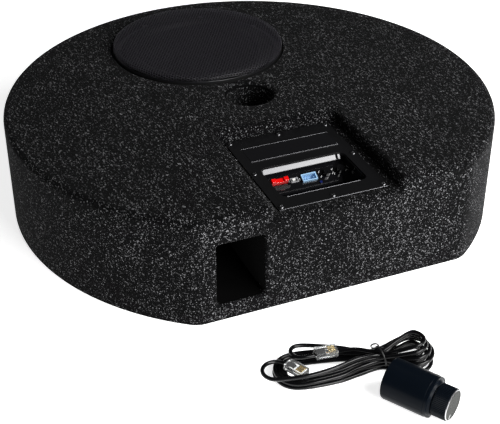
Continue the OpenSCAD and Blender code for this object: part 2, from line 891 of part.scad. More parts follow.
bottom_board();
top_board();
side_wall();
front_board();
amp_shelf();
port_side_outer();
port_side_inner();
port_roof();
bolt_tube();
top_carpet();
side_carpet();
bottom_carpet();
recess_carpet();
driver_basket();
driver_top_plate();
driver_magnet();
driver_back_plate();
driver_surround();
driver_spider();
driver_cone();
driver_dust_cap();
driver_voice_coil();
driver_gasket();
driver_terminals();
driver_screws();
driver_leads();
grille_ring();
grille_mesh();
amp_plate();
amp_gasket();
amp_inlay();
amp_well();
amp_cover();
amp_board();
amp_parts();
amp_heat_bar();
amp_screws();
fuse_holder();
blade_fuse();
speaker_input();
power_strip();
rca_jacks();
remote_socket();
power_light();
trim_pots();
gain_knob();
lowpass_knob();
phase_switch();
phase_slider();
remote_upper();
remote_lower();
remote_collar();
remote_pot();
remote_jack();
remote_knob();
remote_knob_cap();
cable_hank();
cable_tie();
plug_a();
plug_b();
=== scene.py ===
"""Looks of a powered subwoofer for a car's spare-wheel well.

The box is covered in black needle felt, with a 20 cm driver under a pressed
grille, a sunk plate amplifier, a port in the flat front, and a wired level
remote with its coiled cable. Lengths are in metres unless a name ends in _mm.
The origin is on the axis of the hold-down bolt, on the floor.
"""

import logging
import math
import random
from dataclasses import dataclass, field
from enum import Enum

import bmesh
import bpy
from mathutils import Matrix, Vector


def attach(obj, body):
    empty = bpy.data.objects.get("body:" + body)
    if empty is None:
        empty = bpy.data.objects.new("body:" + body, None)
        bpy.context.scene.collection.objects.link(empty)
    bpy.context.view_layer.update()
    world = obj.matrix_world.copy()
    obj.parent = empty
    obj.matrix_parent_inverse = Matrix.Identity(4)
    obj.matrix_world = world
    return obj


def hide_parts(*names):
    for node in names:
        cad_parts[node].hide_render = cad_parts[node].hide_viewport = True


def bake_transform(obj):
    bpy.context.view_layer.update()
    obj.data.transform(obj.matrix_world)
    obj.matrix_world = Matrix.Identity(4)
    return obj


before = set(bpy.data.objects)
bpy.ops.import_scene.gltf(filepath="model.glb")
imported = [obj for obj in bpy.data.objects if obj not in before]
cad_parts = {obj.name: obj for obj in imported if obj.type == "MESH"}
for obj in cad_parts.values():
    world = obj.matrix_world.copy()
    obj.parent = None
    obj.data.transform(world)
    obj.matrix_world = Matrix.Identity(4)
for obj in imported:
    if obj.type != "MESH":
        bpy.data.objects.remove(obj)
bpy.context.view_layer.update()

LOG = logging.getLogger("subwoofer")
MM = 0.001
FULL_TURN = 2 * math.pi

Pair = tuple[float, float]
Triple = tuple[float, float, float]
Sides = tuple[float, float, float, float]
Socket = bpy.types.NodeSocket
Edges = list[bmesh.types.BMEdge]


class Body(str, Enum):
    """The bodies that the new pieces ride on."""

    BOX = "enclosure"
    CONE = "cone_motion"
    DIAL = "remote_dial"


class Surface(Enum):
    """How a finish breaks up at close range."""

    GRAIN = "grain"
    BRUSHED = "brushed"
    SPUN = "spun"
    FIBRE = "fibre"


def mm(x: float, y: float, z: float) -> Vector:
    """Gives a point in metres from millimetres.

    Args:
        x: Distance to the right, in millimetres.
        y: Distance to the back, in millimetres.
        z: Height, in millimetres.

    Returns:
        The point in metres.
    """
    return Vector((x, y, z)) * MM


def grey(level: float) -> Triple:
    """Gives a grey in linear light."""
    return (level, level, level)


def dimmed(colour: Triple, share: float) -> Triple:
    """Scales a colour by a share."""
    return tuple(c * share for c in colour)


def turned(degrees: float, axis: str) -> Matrix:
    """Gives a turn about one axis."""
    return Matrix.Rotation(math.radians(degrees), 4, axis)


def verts_in(result: dict) -> list[bmesh.types.BMVert]:
    """Picks the vertices out of an operator's result."""
    return [v for v in result["geom"] if isinstance(v, bmesh.types.BMVert)]


def edges_in(result: dict) -> Edges:
    """Picks the edges out of an operator's result."""
    return [e for e in result["geom"] if isinstance(e, bmesh.types.BMEdge)]


def edges_at(verts: list[bmesh.types.BMVert]) -> Edges:
    """Gives the edges that meet at some vertices, in a steady order."""
    return list(dict.fromkeys(e for v in verts for e in v.link_edges))


class Nodes:
    """Lays out the nodes of one material around its main shader."""

    def __init__(self, name: str) -> None:
        """Makes the material.

        Args:
            name: The material's name.
        """
        self.material = bpy.data.materials.new(name)
        self.material.use_nodes = True
        self.tree = self.material.node_tree
        self.shader = self.tree.nodes["Principled BSDF"]
        self.coords = self.tree.nodes.new("ShaderNodeTexCoord").outputs["Object"]

    def add(self, kind: str) -> bpy.types.Node:
        """Adds a node of one kind and returns it."""
        return self.tree.nodes.new(kind)

    def join(self, source: Socket, target: Socket) -> None:
        """Links one socket to another."""
        self.tree.links.new(source, target)

    def placed(self, at: Vector, turn: Triple, scale: Triple) -> Socket:
        """Moves and stretches the object coordinates.

        Args:
            at: The point that becomes the pattern's centre.
            turn: The pattern's turn about each axis, in radians.
            scale: The pattern's scale along each axis.

        Returns:
            The mapped coordinates.
        """
        shift, spread = self.add("ShaderNodeMapping"), self.add("ShaderNodeMapping")
        shift.inputs["Location"].default_value = -at
        spread.inputs["Rotation"].default_value = turn
        spread.inputs["Scale"].default_value = scale
        self.join(self.coords, shift.inputs["Vector"])
        self.join(shift.outputs[0], spread.inputs["Vector"])
        return spread.outputs[0]

    def noise(
        self, scale: float, detail: float = 2.0, rough: float = 0.5, coords: Socket | None = None,
    ) -> Socket:
        """Adds a noise pattern.

        Args:
            scale: Features per metre.
            detail: Number of finer layers.
            rough: Strength of the finer layers.
            coords: The coordinates, or None for the object's own.

        Returns:
            The pattern's value.
        """
        node = self.add("ShaderNodeTexNoise")
        node.inputs["Scale"].default_value = scale
        node.inputs["Detail"].default_value = detail
        node.inputs["Roughness"].default_value = rough
        self.join(coords or self.coords, node.inputs["Vector"])
        return node.outputs["Fac"]

    def ramp(self, value: Socket, stops: list[tuple[float, Triple]]) -> Socket:
        """Turns a value into a colour.

        Args:
            value: The value, from 0 to 1.
            stops: Places along the ramp, each with its colour.

        Returns:
            The colour.
        """
        node = self.add("ShaderNodeValToRGB")
        elements = node.color_ramp.elements
        while len(elements) < len(stops):
            elements.new(0.5)
        for element, (place, colour) in zip(elements, stops):
            element.position = place
            element.color = (*colour, 1.0)
        self.join(value, node.inputs["Fac"])
        return node.outputs["Color"]

    def maths(self, kind: str, a: Socket, b: Socket | float) -> Socket:
        """Combines two values.

        Args:
            kind: The Math node's operation.
            a: The first value.
            b: The second value, as a socket or a number.

        Returns:
            The result.
        """
        node = self.add("ShaderNodeMath")
        node.operation = kind
        self.join(a, node.inputs[0])
        if isinstance(b, (int, float)):
            node.inputs[1].default_value = b
        else:
            self.join(b, node.inputs[1])
        return node.outputs[0]

    def blended(self, how_much: Socket, under: Socket, over: Socket) -> Socket:
        """Mixes two colours.

        Args:
            how_much: The share of the second colour.
            under: The first colour.
            over: The second colour.

        Returns:
            The mixed colour.
        """
        node = self.add("ShaderNodeMix")
        node.data_type = "RGBA"
        self.join(how_much, node.inputs["Factor"])
        colours = [s for s in node.inputs if s.type == "RGBA"]
        self.join(under, colours[0])
        self.join(over, colours[1])
        return next(s for s in node.outputs if s.type == "RGBA")

    def bump(self, height: Socket, depth: float, strength: float = 1.0) -> None:
        """Raises the surface by a pattern.

        Args:
            height: The pattern.
            depth: Depth of the relief, in metres.
            strength: Share of the relief that shows.
        """
        node = self.add("ShaderNodeBump")
        node.inputs["Distance"].default_value = depth
        node.inputs["Strength"].default_value = strength
        self.join(height, node.inputs["Height"])
        self.join(node.outputs["Normal"], self.shader.inputs["Normal"])

    def steady(self, **values: float) -> None:
        """Sets numbers on the main shader's own sockets, by name with _ for spaces."""
        for name, value in values.items():
            self.shader.inputs[name.replace("_", " ")].default_value = value


@dataclass(frozen=True)
class Finish:
    """A painted, moulded, plated or woven surface.

    Attributes:
        name: The finish's name.
        colour: Its colour in linear light.
        rough: Its mean roughness.
        spread: How far colour and roughness wander, as a share.
        scale: Size of its texture, in features per metre.
        relief: Depth of its texture, in metres.
        surface: The way the texture runs.
        metal: How metallic it is.
        coat: Thickness of its clear coat, from 0 to 1.
        clear: How much light it lets through.
        shine: Its specular level, 0.5 for bare plastic.
        centre: The middle of a spun texture.
        turn: The turn of a brushed or spun texture.
    """

    name: str
    colour: Triple
    rough: float
    spread: float = 0.15
    scale: float = 900.0
    relief: float = 0.00006
    surface: Surface = Surface.GRAIN
    metal: float = 0.0
    coat: float = 0.0
    clear: float = 0.0
    shine: float = 0.5
    centre: Triple = (0.0, 0.0, 0.0)
    turn: Triple = (0.0, 0.0, 0.0)

    def pattern(self, nodes: Nodes) -> Socket:
        """Makes the close-range texture.

        Args:
            nodes: The material's nodes.

        Returns:
            The texture's value.
        """
        if self.surface is Surface.BRUSHED:
            along = nodes.placed(Vector(self.centre), self.turn, (0.04, 1.0, 1.0))
            return nodes.noise(self.scale, 3.0, 0.6, along)
        if self.surface is Surface.FIBRE:
            along = nodes.placed(Vector(self.centre), self.turn, (0.25, 1.0, 0.6))
            return nodes.noise(self.scale, 4.0, 0.7, along)
        if self.surface is Surface.SPUN:
            rings = nodes.add("ShaderNodeTexWave")
            rings.wave_type = "RINGS"
            rings.rings_direction = "Z"
            rings.inputs["Scale"].default_value = self.scale
            rings.inputs["Distortion"].default_value = 0.6
            rings.inputs["Detail"].default_value = 2.0
            nodes.join(nodes.placed(Vector(self.centre), self.turn, (1.0, 1.0, 1.0)), rings.inputs["Vector"])
            return rings.outputs["Fac"]
        return nodes.noise(self.scale, 3.0, 0.55)

    def build(self) -> bpy.types.Material:
        """Makes the material.

        Returns:
            The material.
        """
        nodes = Nodes(self.name)
        fine = self.pattern(nodes)
        broad = nodes.noise(18.0, 3.0, 0.5)
        wander = nodes.maths("ADD", nodes.maths("MULTIPLY", fine, 0.5), nodes.maths("MULTIPLY", broad, 0.5))
        low = dimmed(self.colour, 1 - self.spread)
        high = tuple(min(1.0, c * (1 + self.spread)) for c in self.colour)
        nodes.join(nodes.ramp(wander, [(0.3, low), (0.7, high)]), nodes.shader.inputs["Base Color"])
        lift = nodes.maths("MULTIPLY", wander, self.spread * 0.6)
        least = max(0.02, self.rough - self.spread * 0.3)
        nodes.join(nodes.maths("ADD", lift, least), nodes.shader.inputs["Roughness"])
        nodes.bump(fine, self.relief, 0.7)
        nodes.steady(
            Metallic=self.metal, Coat_Weight=self.coat, Coat_Roughness=0.06,
            Transmission_Weight=self.clear, Specular_IOR_Level=self.shine, IOR=1.5,
        )
        return nodes.material


@dataclass(frozen=True)
class Felt:
    """Black needle felt with scattered pale fibres.

    Attributes:
        name: The finish's name.
        ground: Colour of the black fibres, in linear light.
        fleck: Colour of the pale fibres.
        fleck_scale: Flecks per metre.
        cover: Noise level above which a fleck shows.
    """

    name: str = "carpet_felt"
    ground: Triple = (0.0018, 0.0018, 0.002)
    fleck: Triple = (0.28, 0.28, 0.29)
    fleck_scale: float = 680.0
    cover: float = 0.585

    def build(self) -> bpy.types.Material:
        """Makes the material.

        Returns:
            The material.
        """
        nodes = Nodes(self.name)
        spots = nodes.noise(self.fleck_scale, 2.5, 0.6)
        one_way = nodes.placed(Vector(), (0.3, 0.5, 0.7), (1.0, 0.28, 0.8))
        other_way = nodes.placed(Vector(), (1.1, 0.2, 2.2), (0.9, 0.25, 1.0))
        crossing = [nodes.noise(self.fleck_scale, 2.0, 0.6, way) for way in (one_way, other_way)]
        strands = nodes.maths("MAXIMUM", *crossing)
        pale = nodes.maths("MULTIPLY", nodes.maths("ADD", spots, strands), 0.5)
        clouds = nodes.noise(24.0, 3.0, 0.6)
        level = nodes.maths("ADD", pale, nodes.maths("MULTIPLY", nodes.maths("SUBTRACT", clouds, 0.5), 0.06))
        mask = nodes.ramp(level, [(self.cover, grey(0.0)), (self.cover + 0.06, grey(1.0))])
        shades = nodes.noise(300.0, 2.0, 0.5)
        dark = nodes.ramp(shades, [(0.35, dimmed(self.ground, 0.6)), (0.7, dimmed(self.ground, 1.7))])
        light = nodes.ramp(shades, [(0.3, dimmed(self.fleck, 0.45)), (0.7, self.fleck)])
        nodes.join(nodes.blended(mask, dark, light), nodes.shader.inputs["Base Color"])
        nodes.bump(nodes.maths("ADD", level, nodes.maths("MULTIPLY", clouds, 0.3)), 0.0016, 0.8)
        nodes.steady(Roughness=0.95, Sheen_Weight=0.02, Sheen_Roughness=0.5, Specular_IOR_Level=0.04)
        return nodes.material


class Paints:
    """Keeps one material for each finish, by record slot."""

    def __init__(self) -> None:
        """Lists the finishes. Materials are made when first asked for.

        The disc's finish is named for its slot. It is a dark satin without metal, so that its rings show and
        it doesn't mirror the floor. The rings' wide swing in base colour is partly spun grain and partly a
        painted radial sheen.
        """
        dial = Remote()
        face = dial.shaft(dial.disc_centre_mm)
        remote = (0.0022, 0.0036, 0.006)
        rows = [
            Finish("board", (0.42, 0.30, 0.18), 0.75, 0.2, 500.0, 0.0002, Surface.FIBRE),
            # port_board: near-zero black, partly real black paint and partly painted shade inside the port's
            # duct.
            Finish("port_board", grey(0.0006), 0.9, 0.2, 500.0, 0.0002, Surface.FIBRE, shine=0.03),
            Finish("tube", (0.0015, 0.0015, 0.0016), 0.85, shine=0.05),
            Finish("basket_steel", (0.05, 0.05, 0.053), 0.5, metal=0.6),
            Finish("plated_steel", (0.55, 0.55, 0.57), 0.35, 0.12, 600.0, 0.00004, Surface.BRUSHED,
                   metal=1.0),
            Finish("ferrite", (0.03, 0.03, 0.032), 0.6),
            Finish("rubber_black", grey(0.003), 0.6, scale=1400.0, shine=0.15),
            Finish("spider_cloth", (0.55, 0.36, 0.12), 0.9, 0.2, 1500.0, 0.0002, Surface.FIBRE),
            Finish("cone_paper", grey(0.003), 0.85, 0.25, 900.0, 0.0002, Surface.FIBRE, shine=0.1),
            Finish("coil_copper", (0.75, 0.32, 0.16), 0.3, metal=1.0),
            Finish("black_screw", (0.10, 0.10, 0.104), 0.3, metal=1.0),
            Finish("lead_wire", (0.10, 0.01, 0.01), 0.45),
            Finish("grille_paint", (0.026, 0.024, 0.031), 0.3, 0.2, 1600.0, 0.00005, shine=0.45),
            # grille_edge: a darker copy of the grille paint for the rim band, painted shade over the rim's
            # edge highlight.
            Finish("grille_edge", (0.006, 0.006, 0.007), 0.35, 0.2, 1600.0, 0.00005, shine=0.3),
            Finish("grille_ring", grey(0.004), 0.5, shine=0.2),
            Finish("amp_paint", (0.004, 0.004, 0.0045), 0.36, 0.2, 1500.0, 0.00004, shine=0.35),
            Finish("foam", grey(0.01), 0.9),
            Finish("amp_gloss", (0.004, 0.004, 0.005), 0.09, 0.1, 700.0, 0.000006, coat=0.7),
            Finish("cover_steel", (0.06, 0.06, 0.062), 0.45, metal=0.7),
            Finish("circuit_board", (0.01, 0.08, 0.03), 0.4),
            Finish("board_parts", (0.05, 0.05, 0.08), 0.45),
            Finish("heat_bar", (0.6, 0.6, 0.62), 0.4, 0.1, 500.0, 0.00004, Surface.BRUSHED, metal=1.0),
            Finish("black_plastic", (0.003, 0.003, 0.0034), 0.14, 0.1, 900.0, 0.000004, shine=0.4),
            Finish("fuse_red", (0.75, 0.004, 0.004), 0.14, 0.1, 500.0, 0.00001, clear=0.2),
            Finish("input_blue", (0.30, 0.50, 0.72), 0.35),
            Finish("rca_nickel", (0.78, 0.77, 0.74), 0.2, 0.1, 600.0, 0.00002, metal=1.0),
            Finish("light_blue", (0.01, 0.02, 0.14), 0.15, clear=0.3),
            Finish("pot_case", grey(0.2), 0.4, metal=0.6),
            Finish("switch_grey", (0.22, 0.22, 0.23), 0.45),
            Finish("slider_white", (0.75, 0.75, 0.73), 0.4),
            Finish("remote_case", remote, 0.3, 0.15, 2200.0, 0.00002, shine=0.05),
            Finish("remote_knob", remote, 0.35, 0.15, 2200.0, 0.00002, shine=0.12),
            # Painted sheen: the wide colour spread of the spun rings stands in for the disc's radial sheen, on
            # top of its real spun grain.
            Finish("spun_aluminium", (0.021, 0.022, 0.020), 0.34, 0.45, 900.0, 0.00003, Surface.SPUN,
                   shine=0.03, centre=tuple(face.translation),
                   turn=(math.radians(-90), math.radians(-90 - dial.heading), 0.0)),
            Finish("cable_black", (0.002, 0.002, 0.0024), 0.2, 0.1, 1600.0, 0.00001, shine=0.25),
            Finish("tie_black", grey(0.008), 0.4),
            Finish("clear_plug", (0.95, 0.96, 0.96), 0.05, 0.02, 500.0, 0.000002, clear=0.93),
            Finish("gold_contact", (0.90, 0.74, 0.42), 0.25, 0.1, 700.0, 0.00001, metal=1.0),
            Finish("bright_edge", (0.60, 0.60, 0.61), 0.28, 0.06, 700.0, 0.00001, metal=1.0),
            # slope_silver: silver stands in for the reflection on a glossy black bevel, a painted reflection.
            Finish("slope_silver", (0.16, 0.16, 0.163), 0.5, 0.06, 700.0, 0.00001, metal=1.0),
            Finish("white_mark", grey(0.7), 0.5),
            # satin_trim: pale metal for thin lines that stand in for edge highlights, a painted highlight.
            Finish("satin_trim", (0.09, 0.09, 0.095), 0.35, 0.1, 900.0, 0.00001, metal=1.0),
        ]
        self.finishes: dict[str, Finish | Felt] = {row.name: row for row in rows}
        self.finishes["carpet"] = Felt()
        self.made: dict[str, bpy.types.Material] = {}

    def of(self, name: str) -> bpy.types.Material:
        """Gives the material of a finish.

        Args:
            name: The finish's name.

        Returns:
            Its material, made once.
        """
        if name not in self.made:
            self.made[name] = self.finishes[name].build()
        return self.made[name]

    def dress_frame(self) -> None:
        """Gives every CAD node the finish of its slot."""
        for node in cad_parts.values():
            for place in node.material_slots:
                place.material = self.of(place.material.name.split(".")[0])


class Piece:
    """One visible piece while its mesh is being shaped."""

    def __init__(self, name: str) -> None:
        """Starts an empty mesh.

        Args:
            name: The piece's name.
        """
        self.name = name
        self.bm = bmesh.new()

    def lathe(self, profile: list[Pair], place: Matrix, steps: int = 96) -> None:
        """Spins a profile round the place's Z axis.

        Args:
            profile: Radius and height of each point, in millimetres.
            place: Where the axis stands, in metres.
            steps: Number of steps round.
        """
        verts = [self.bm.verts.new(place @ mm(r, 0, z)) for r, z in profile]
        edges = [self.bm.edges.new(pair) for pair in zip(verts, verts[1:])]
        bmesh.ops.spin(
            self.bm, geom=verts + edges, cent=place.translation, axis=place.to_3x3() @ Vector((0, 0, 1)),
            angle=FULL_TURN, steps=steps, use_merge=True,
        )
        self.heal()

    def block(
        self, low: Triple, high: Triple, place: Matrix, bevel: float = 0.3, segments: int = 2,
    ) -> None:
        """Adds a box with rounded edges.

        Args:
            low: Its lowest corner, in millimetres.
            high: Its highest corner, in millimetres.
            place: The frame that the corners are in.
            bevel: Radius of its edges, in millimetres.
            segments: Steps across each rounded edge.
        """
        size = Vector(high) - Vector(low)
        middle = (Vector(high) + Vector(low)) / 2 * MM
        stretched = place @ Matrix.Translation(middle) @ Matrix.Diagonal((*(size * MM), 1.0))
        made = bmesh.ops.create_cube(self.bm, size=1.0, matrix=stretched)
        if bevel > 0:
            self.round_off(edges_at(made["verts"]), bevel, segments)

    def round_off(self, edges: Edges, radius: float, segments: int = 3) -> None:
        """Rounds edges.

        Args:
            edges: The edges.
            radius: Their radius, in millimetres.
            segments: Steps across each.
        """
        bmesh.ops.bevel(
            self.bm, geom=edges, offset=radius * MM, offset_type="OFFSET", affect="EDGES",
            segments=segments, profile=0.5, material=-1, clamp_overlap=True,
        )

    def fill(self, edges: Edges, normal: Vector | Triple) -> None:
        """Fills the space between loops of edges.

        Args:
            edges: The outline and the outlines of any holes.
            normal: The way the new faces look.
        """
        bmesh.ops.triangle_fill(self.bm, use_beauty=True, use_dissolve=False, edges=edges, normal=normal)

    def draw_out(self, edges: Edges, along: Vector) -> None:
        """Draws edges out into a wall.

        Args:
            edges: The edges.
            along: How far and which way, in metres.
        """
        run = bmesh.ops.extrude_edge_only(self.bm, edges=edges)
        bmesh.ops.translate(self.bm, verts=verts_in(run), vec=along)

    def thicken(self, faces: list[bmesh.types.BMFace], along: Vector) -> None:
        """Draws faces out into a solid and keeps the first ones.

        Args:
            faces: The faces.
            along: How far and which way, in metres.
        """
        run = bmesh.ops.extrude_face_region(self.bm, geom=faces, use_keep_orig=True)
        bmesh.ops.translate(self.bm, verts=verts_in(run), vec=along)

    def rounded_loop(self, corners: list[Vector], radius: float, segments: int) -> Edges:
        """Draws a flat outline with rounded corners.

        Args:
            corners: Its corners, in metres.
            radius: Radius of its corners, in millimetres.
            segments: Steps round each corner.

        Returns:
            Its edges.
        """
        middle = sum(corners, Vector()) / len(corners)
        verts = [self.bm.verts.new(p) for p in corners]
        self.bm.faces.new(verts)
        bmesh.ops.bevel(
            self.bm, geom=verts, offset=radius * MM, offset_type="OFFSET", affect="VERTICES",
            segments=segments, profile=0.5, material=-1, clamp_overlap=True,
        )
        near = [f for f in self.bm.faces if (f.calc_center_median() - middle).length < 1e-3]
        face = max(near, key=lambda f: f.calc_area())
        edges = list(face.edges)
        bmesh.ops.delete(self.bm, geom=[face], context="FACES_ONLY")
        return edges

    def heal(self) -> None:
        """Merges doubles and turns every face outwards."""
        bmesh.ops.remove_doubles(self.bm, verts=self.bm.verts[:], dist=1e-6)
        bmesh.ops.recalc_face_normals(self.bm, faces=self.bm.faces[:])

    def finish(self, paint: bpy.types.Material, sharp: float = 35.0, weigh: bool = True) -> bpy.types.Object:
        """Makes the object.

        Args:
            paint: Its material.
            sharp: Angle past which an edge looks sharp, in degrees.
            weigh: Whether large faces keep their own shading.

        Returns:
            The object, at the origin.
        """
        mesh = bpy.data.meshes.new(self.name)
        for face in self.bm.faces:
            face.smooth = True
        self.bm.to_mesh(mesh)
        self.bm.free()
        mesh.set_sharp_from_angle(angle=math.radians(sharp))
        mesh.materials.append(paint)
        made = bpy.data.objects.new(self.name, mesh)
        bpy.context.scene.collection.objects.link(made)
        if weigh:
            even = made.modifiers.new("even_shading", "WEIGHTED_NORMAL")
            even.keep_sharp = True
        LOG.info("%s: %d faces", self.name, len(mesh.polygons))
        return made


def give_wall(made: bpy.types.Object, name: str, thick: float) -> None:
    """Gives a thin piece a wall behind its faces.

    Args:
        made: The piece.
        name: The modifier's name.
        thick: The wall's thickness, in millimetres.
    """
    wall = made.modifiers.new(name, "SOLIDIFY")
    wall.thickness = thick * MM
    wall.offset = -1.0


def settle(
    made: bpy.types.Object, body: Body, stands_for: tuple[str, ...] = (),
) -> bpy.types.Object:
    """Says what a finished piece rides on and stands for.

    Args:
        made: The piece.
        body: The body it moves with.
        stands_for: The CAD nodes that it replaces.

    Returns:
        The piece.
    """
    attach(made, body.value)
    if stands_for:
        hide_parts(*stands_for)
    return made


def axis_place(at: Vector) -> Matrix:
    """Gives an upright frame at a point."""
    return Matrix.Translation(at)


@dataclass
class Studio:
    """Floor, lights and camera."""

    azimuth: float = -22.736
    elevation: float = 32.990
    distance: float = 1.187167
    target: Triple = (-0.059238, -0.143530, 0.060)
    lens_mm: float = 81.61

    def camera(self) -> None:
        """Puts the camera at its viewing angle."""
        a, e = math.radians(self.azimuth), math.radians(self.elevation)
        back = Vector((math.sin(a) * math.cos(e), -math.cos(a) * math.cos(e), math.sin(e)))
        data = bpy.data.cameras.new("camera")
        data.lens = self.lens_mm
        data.sensor_width = 36.0
        made = bpy.data.objects.new("camera", data)
        bpy.context.scene.collection.objects.link(made)
        made.location = Vector(self.target) + back * self.distance
        made.rotation_mode = "QUATERNION"
        made.rotation_quaternion = (-back).to_track_quat("-Z", "Y")
        bpy.context.scene.camera = made

    def floor(self) -> None:
        """Lays a plain pale floor."""
        piece = Piece("floor")
        bmesh.ops.create_grid(piece.bm, x_segments=1, y_segments=1, size=6.0)
        nodes = Nodes("pale_floor")
        nodes.steady(Roughness=0.9, Specular_IOR_Level=0.0, Emission_Strength=0.78)
        tone = nodes.ramp(nodes.noise(3.0), [(0.0, grey(0.93)), (1.0, grey(0.96))])
        nodes.join(tone, nodes.shader.inputs["Base Color"])
        nodes.shader.inputs["Emission Color"].default_value = (1.0, 1.0, 1.0, 1.0)
        made = piece.finish(nodes.material, weigh=False)

    def light(self, name: str, at: Triple, towards: Triple, size: float, power: float) -> None:
        """Adds one soft light.

        Args:
            name: Its name.
            at: Its place.
            towards: The point that it faces.
            size: Width of its panel.
            power: Its power in watts.
        """
        data = bpy.data.lights.new(name, "AREA")
        data.shape = "SQUARE"
        data.size = size
        data.energy = power
        made = bpy.data.objects.new(name, data)
        bpy.context.scene.collection.objects.link(made)
        made.location = at
        made.rotation_mode = "QUATERNION"
        made.rotation_quaternion = (Vector(towards) - Vector(at)).to_track_quat("-Z", "Y")

    def build(self) -> None:
        """Sets up the whole studio."""
        world = bpy.data.worlds.new("soft_room")
        world.use_nodes = True
        world.node_tree.nodes["Background"].inputs["Color"].default_value = (1, 1, 1, 1)
        world.node_tree.nodes["Background"].inputs["Strength"].default_value = 0.03
        bpy.context.scene.world = world
        bpy.context.scene.view_settings.view_transform = "Standard"
        self.camera()
        self.floor()
        self.light("key", (0.85, -0.95, 1.05), (0.1, -0.15, 0.05), 0.7, 25.0)
        self.light("front", (0.3, -1.6, 0.6), (0.0, -0.2, 0.06), 0.7, 26.0)
        self.light("top", (-0.2, 1.0, 1.7), (0.0, 0.0, 0.0), 1.1, 1.5)
        self.light("rim", (-1.5, 0.9, 1.1), (0.0, 0.1, 0.1), 0.8, 0.4)


@dataclass
class FeltCover:
    """The felt that is glued over the whole box.

    Attributes:
        radius_mm: Radius of the round outline.
        flat_mm: Distance from the bolt to the flat front.
        top_mm: Height of the top.
        ledge_mm: Height of the ledge round the amplifier.
        notch_mm: Left, right and back of the amplifier's notch.
        opening_mm: Left, front, right and back of the plate's opening.
        port_mm: Left, bottom, right and top of the port.
        port_corner_mm: Radius of the port's corners.
        port_roll_mm: Radius of the felt's roll into the port.
        port_run_mm: How far the felt runs into the port.
        hole_mm: Radius of the hold-down hole.
        hole_roll_mm: Radius of the felt's roll into that hole.
        hole_end_mm: Height at which the felt ends in that hole.
        under_gap_mm: How much wider the hole in the underside is.
        under_run_mm: How far the underside's felt turns up into its hole.
        driver_mm: Place and radius of the driver's hole.
        seat_roll_mm: Radius of the felt's roll into the driver's hole.
        roll_mm: Radius of the rolled edges.
        thick_mm: Thickness of the felt.
        steps: Steps round the outline.
        ring_steps: Steps round each hole.
    """

    radius_mm: float = 275.0
    flat_mm: float = 230.0
    top_mm: float = 120.0
    ledge_mm: float = 105.0
    notch_mm: Triple = (-68.5, 71.5, -71.0)
    opening_mm: Sides = (-60.3, -217.8, 63.3, -72.2)
    port_mm: Sides = (-130.0, 18.0, -78.0, 90.0)
    port_corner_mm: float = 4.0
    port_roll_mm: float = 3.0
    port_run_mm: float = 18.0
    hole_mm: float = 27.0
    hole_roll_mm: float = 6.0
    hole_end_mm: float = 84.0
    under_gap_mm: float = 0.6
    under_run_mm: float = 2.8
    driver_mm: Triple = (-10.0, 140.0, 104.0)
    seat_roll_mm: float = 2.5
    roll_mm: float = 7.0
    thick_mm: float = 2.5
    steps: int = 150
    ring_steps: int = 72

    def shell(self, piece: Piece) -> None:
        """Shapes the D with its notch, rounded.

        Args:
            piece: The cover's piece.
        """
        bm = piece.bm
        half = math.sqrt(self.radius_mm**2 - self.flat_mm**2)
        start = bm.verts.new(mm(half, -self.flat_mm, self.ledge_mm))
        turn = FULL_TURN - 2 * math.atan2(half, self.flat_mm)
        bmesh.ops.spin(bm, geom=[start], cent=(0, 0, 0), axis=(0, 0, 1), angle=turn, steps=self.steps)
        bm.verts.ensure_lookup_table()
        around = sorted(bm.verts, key=lambda v: (math.atan2(v.co.y, v.co.x) + math.pi / 2 - 1e-4) % FULL_TURN)
        left, right, back = self.notch_mm
        l0 = bm.verts.new(mm(left, -self.flat_mm, self.ledge_mm))
        l1 = bm.verts.new(mm(left, back, self.ledge_mm))
        r1 = bm.verts.new(mm(right, back, self.ledge_mm))
        r0 = bm.verts.new(mm(right, -self.flat_mm, self.ledge_mm))
        upper = bm.faces.new([*around, l0, l1, r1, r0])
        ledge = bm.faces.new([l0, r0, r1, l1])
        piece.heal()
        if upper.normal.z < 0:
            bmesh.ops.reverse_faces(bm, faces=bm.faces[:])
        lowered = bmesh.ops.extrude_face_region(bm, geom=[upper, ledge], use_keep_orig=True)
        bmesh.ops.translate(bm, verts=verts_in(lowered), vec=(0, 0, -self.ledge_mm * MM))
        raised = bmesh.ops.extrude_face_region(bm, geom=[upper])
        bmesh.ops.translate(bm, verts=verts_in(raised), vec=(0, 0, (self.top_mm - self.ledge_mm) * MM))
        bmesh.ops.delete(bm, geom=[f for f in bm.faces if f.is_valid and f is upper], context="FACES_ONLY")
        piece.heal()
        bmesh.ops.dissolve_limit(bm, angle_limit=math.radians(0.5), verts=bm.verts[:], edges=bm.edges[:])
        piece.heal()

    def rolled_edges(self, piece: Piece) -> None:
        """Rounds the edges that the felt rolls over.

        Args:
            piece: The cover's piece.
        """
        high, ledge, front = self.top_mm * MM, self.ledge_mm * MM, -self.flat_mm * MM
        chosen = []
        for edge in piece.bm.edges:
            a, b = (v.co for v in edge.verts)
            level = abs(a.z - b.z) < 1e-6
            on_front = abs(a.y - front) < 1e-6 and abs(b.y - front) < 1e-6
            if level and a.z > high - 1e-6:
                chosen.append(edge)
            elif level and on_front and abs(a.z - ledge) < 1e-6:
                chosen.append(edge)
            elif not level and edge.calc_face_angle(0.0) > 0.5:
                chosen.append(edge)
        piece.round_off(chosen, self.roll_mm, 5)
        piece.heal()

    def flat_face(self, piece: Piece, normal: Vector, level: float) -> bmesh.types.BMFace:
        """Finds the largest face of one flat side.

        Args:
            piece: The cover's piece.
            normal: The way the side faces.
            level: The side's distance along that way, in metres.

        Returns:
            The face.
        """
        found = [
            f for f in piece.bm.faces
            if f.normal.dot(normal) > 0.999 and abs(f.calc_center_median().dot(normal) - level) < 2e-4
        ]
        return max(found, key=lambda f: f.calc_area())

